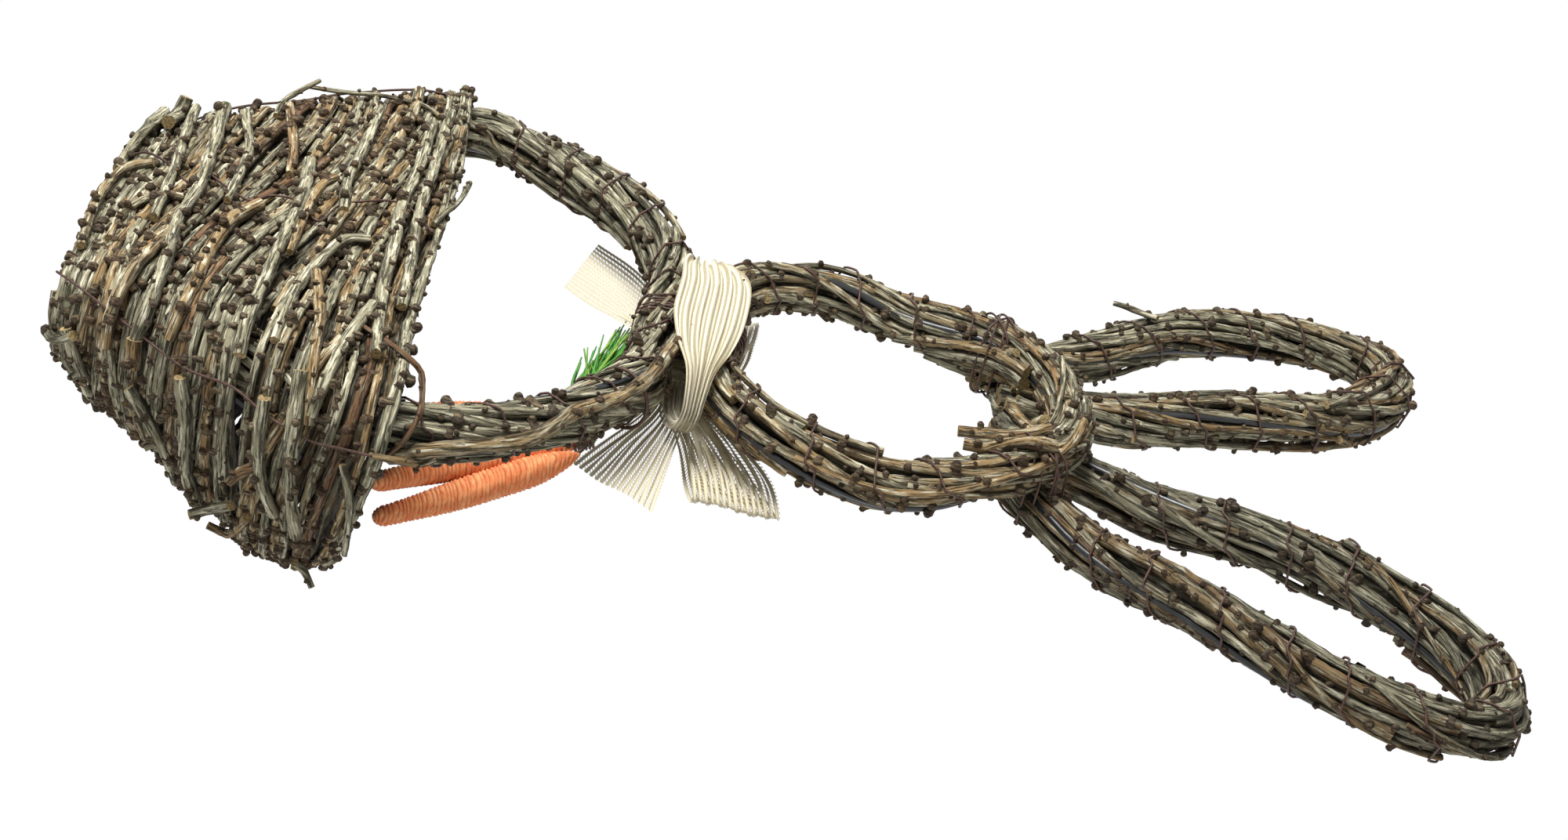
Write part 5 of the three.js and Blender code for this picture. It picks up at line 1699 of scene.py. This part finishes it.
def bunch_hook(rng):
    """The wire round the hoop's arm, its windings at the collar and the carrots' stems."""
    hook, body = Gathered(rng), body_hoop()
    u = np.linspace(0.5, 1, 800)
    at = u[np.linalg.norm(body.place(u) - HOOK_AT, axis=1).argmin()]
    point, out, wall = [v[0] for v in body.frame(np.array([at]))]
    angle = np.radians(285 + 300 * np.linspace(0, 1, 60))
    loop = point + (BUNDLE + 1.6) * turned(out, wall, angle)
    stem = through([loop[-1], loop[-1] * 0.45 + COLLAR * 0.55, COLLAR], 20)
    line = np.vstack([loop, stem[1:]])
    hook.strand(line, np.tile(unit(np.cross(out, wall)), (len(line), 1)), 0.8, 8, 1.5)
    turn = np.linspace(0, TAU * 6, 130)
    axis = unit(np.array(CARROTS[1][1]))
    side = unit(np.cross(axis, Y))
    wound = COLLAR + axis * (turn / TAU * 1.5 - 2)[:, None]
    wound = wound + turned(4.4 * side, 3.6 * np.cross(axis, side), turn)
    hook.strand(wound, np.tile(axis, (len(turn), 1)), 0.6, step=1.2)
    for index, (name, lean) in enumerate(CARROTS):
        way = unit(np.array(lean))
        foot = carrot_foot(index, way, 4)
        stem = through([COLLAR, COLLAR * 0.5 + foot * 0.5 - way * 1.5, foot], 12)
        hook.strand(stem, np.tile(side, (len(stem), 1)), 0.9, step=1.5)
    return hook


class BASKET_OT_greens(bpy.types.Operator):
    """Makes the grass greens and the wire hook that carries the bunch"""

    bl_idname = "basket.greens"
    bl_label = "Greens and hook"

    def execute(self, context):
        rng = np.random.default_rng(71)
        greens = grass_greens(rng)
        place(greens, "grass_greens", "grass", "carrots", "greens", "carrot_greens")
        place_wire(bunch_hook(rng), "bunch_hook", "carrot_hook", body="carrots")
        return {"FINISHED"}


# Stage


def add_camera(scene):
    right, down, ahead = camera_axes()
    data = bpy.data.cameras.new("camera")
    data.sensor_width = SENSOR_MM
    data.lens = FOCAL / PHOTO[0] * SENSOR_MM
    data.clip_end = 20
    camera = bpy.data.objects.new("camera", data)
    matrix = np.eye(4)
    matrix[:3] = np.stack([right, -down, -ahead, (CAMERA_AT - HANG) * MM], 1)
    camera.matrix_world = Matrix(matrix.tolist())
    scene.collection.objects.link(camera)
    scene.camera = camera


def add_lamps(scene):
    """Square lamps aimed at the basket's middle, placed by the photograph's own directions."""
    for name, (to_right, to_bottom, deeper), away, wide, power in LAMPS:
        lamp = bpy.data.lights.new(name, "AREA")
        lamp.energy, lamp.size = power, wide
        item = bpy.data.objects.new(name, lamp)
        right, down, ahead = camera_axes()
        way = unit(to_bottom * down + deeper * ahead + to_right * right)
        item.location = Vector(LAMP_AIM + way * away)
        item.rotation_euler = Vector(-way).to_track_quat("-Z", "Y").to_euler()
        scene.collection.objects.link(item)


def add_world(scene):
    """Plain light from all sides, behind which the background looks white."""
    world = bpy.data.worlds.new("studio")
    scene.world = world
    world.use_nodes = True
    nodes = Nodes(world.node_tree)
    rays = nodes.backdrop_rays()
    strength = nodes.node("ShaderNodeMapRange", {}, Value=rays, To_Min=WORLD_LIGHT, To_Max=1.0)
    sky = nodes.node(
        "ShaderNodeBackground", {}, Color=(1, 1, 1), Strength=strength.outputs[0]
    )
    nodes.node("ShaderNodeOutputWorld", {}, Surface=sky.outputs[0])


def add_floor(scene):
    """A pale round floor below the part, which keeps its shadow."""
    f = Finish("floor", Roughness=0.9, Base_Color=colours().floor)
    glow = f.node("ShaderNodeEmission", {}, Color=(1, 1, 1), Strength=1.0).outputs[0]
    share = f.backdrop_rays() * 0.75
    blend = f.node("ShaderNodeMixShader", {}, i0=share, i1=f.shader.outputs[0], i2=glow)
    f.put(f.end.inputs["Surface"], blend.outputs[0])
    low = float(CAD_BOX[0][2]) - FLOOR_DROP
    turn = np.linspace(0, TAU, FLOOR_SIDES, endpoint=False)
    rim = [(FLOOR_RADIUS * math.cos(a), FLOOR_RADIUS * math.sin(a), low) for a in turn]
    mesh = bpy.data.meshes.new("floor")
    mesh.from_pydata(rim, [], [tuple(range(FLOOR_SIDES))])
    mesh.materials.append(f.material)
    floor = bpy.data.objects.new("floor", mesh)
    scene.collection.objects.link(floor)


class BASKET_OT_stage(bpy.types.Operator):
    """Makes the floor, the lamps, the world and the camera"""

    bl_idname = "basket.stage"
    bl_label = "Stage"

    def execute(self, context):
        context.scene.view_settings.view_transform = "Standard"
        for add in (add_camera, add_lamps, add_world, add_floor):
            add(context.scene)
        return {"FINISHED"}


OPERATORS = (
    BASKET_OT_stage,
    BASKET_OT_body_hoop,
    BASKET_OT_head_hoop,
    BASKET_OT_ears,
    BASKET_OT_pocket,
    BASKET_OT_lacing,
    BASKET_OT_loose_twigs,
    BASKET_OT_ties,
    BASKET_OT_ribbon,
    BASKET_OT_carrots,
    BASKET_OT_greens,
)


class BASKET_PT_panel(bpy.types.Panel):
    """Lists the pieces of the basket with their sizes and colours"""

    bl_idname = "BASKET_PT_panel"
    bl_label = "Wall basket"
    bl_space_type = "VIEW_3D"
    bl_region_type = "UI"
    bl_category = "Wall basket"

    def draw(self, context):
        column = self.layout.column()
        for kind in OPERATORS:
            column.operator(kind.bl_idname)
        for group in (context.scene.basket_sizes, context.scene.basket_colours):
            for key in group.__annotations__:
                column.prop(group, key)


CLASSES = (BasketSizes, BasketColours, *OPERATORS, BASKET_PT_panel)


def register():
    for kind in CLASSES:
        bpy.utils.register_class(kind)
    bpy.types.Scene.basket_sizes = PointerProperty(type=BasketSizes)
    bpy.types.Scene.basket_colours = PointerProperty(type=BasketColours)


def unregister():
    del bpy.types.Scene.basket_colours
    del bpy.types.Scene.basket_sizes
    for kind in reversed(CLASSES):
        bpy.utils.unregister_class(kind)


def main():
    register()
    for kind in OPERATORS:
        group, name = kind.bl_idname.split(".")
        getattr(getattr(bpy.ops, group), name)()


if __name__ == "__main__":
    main()
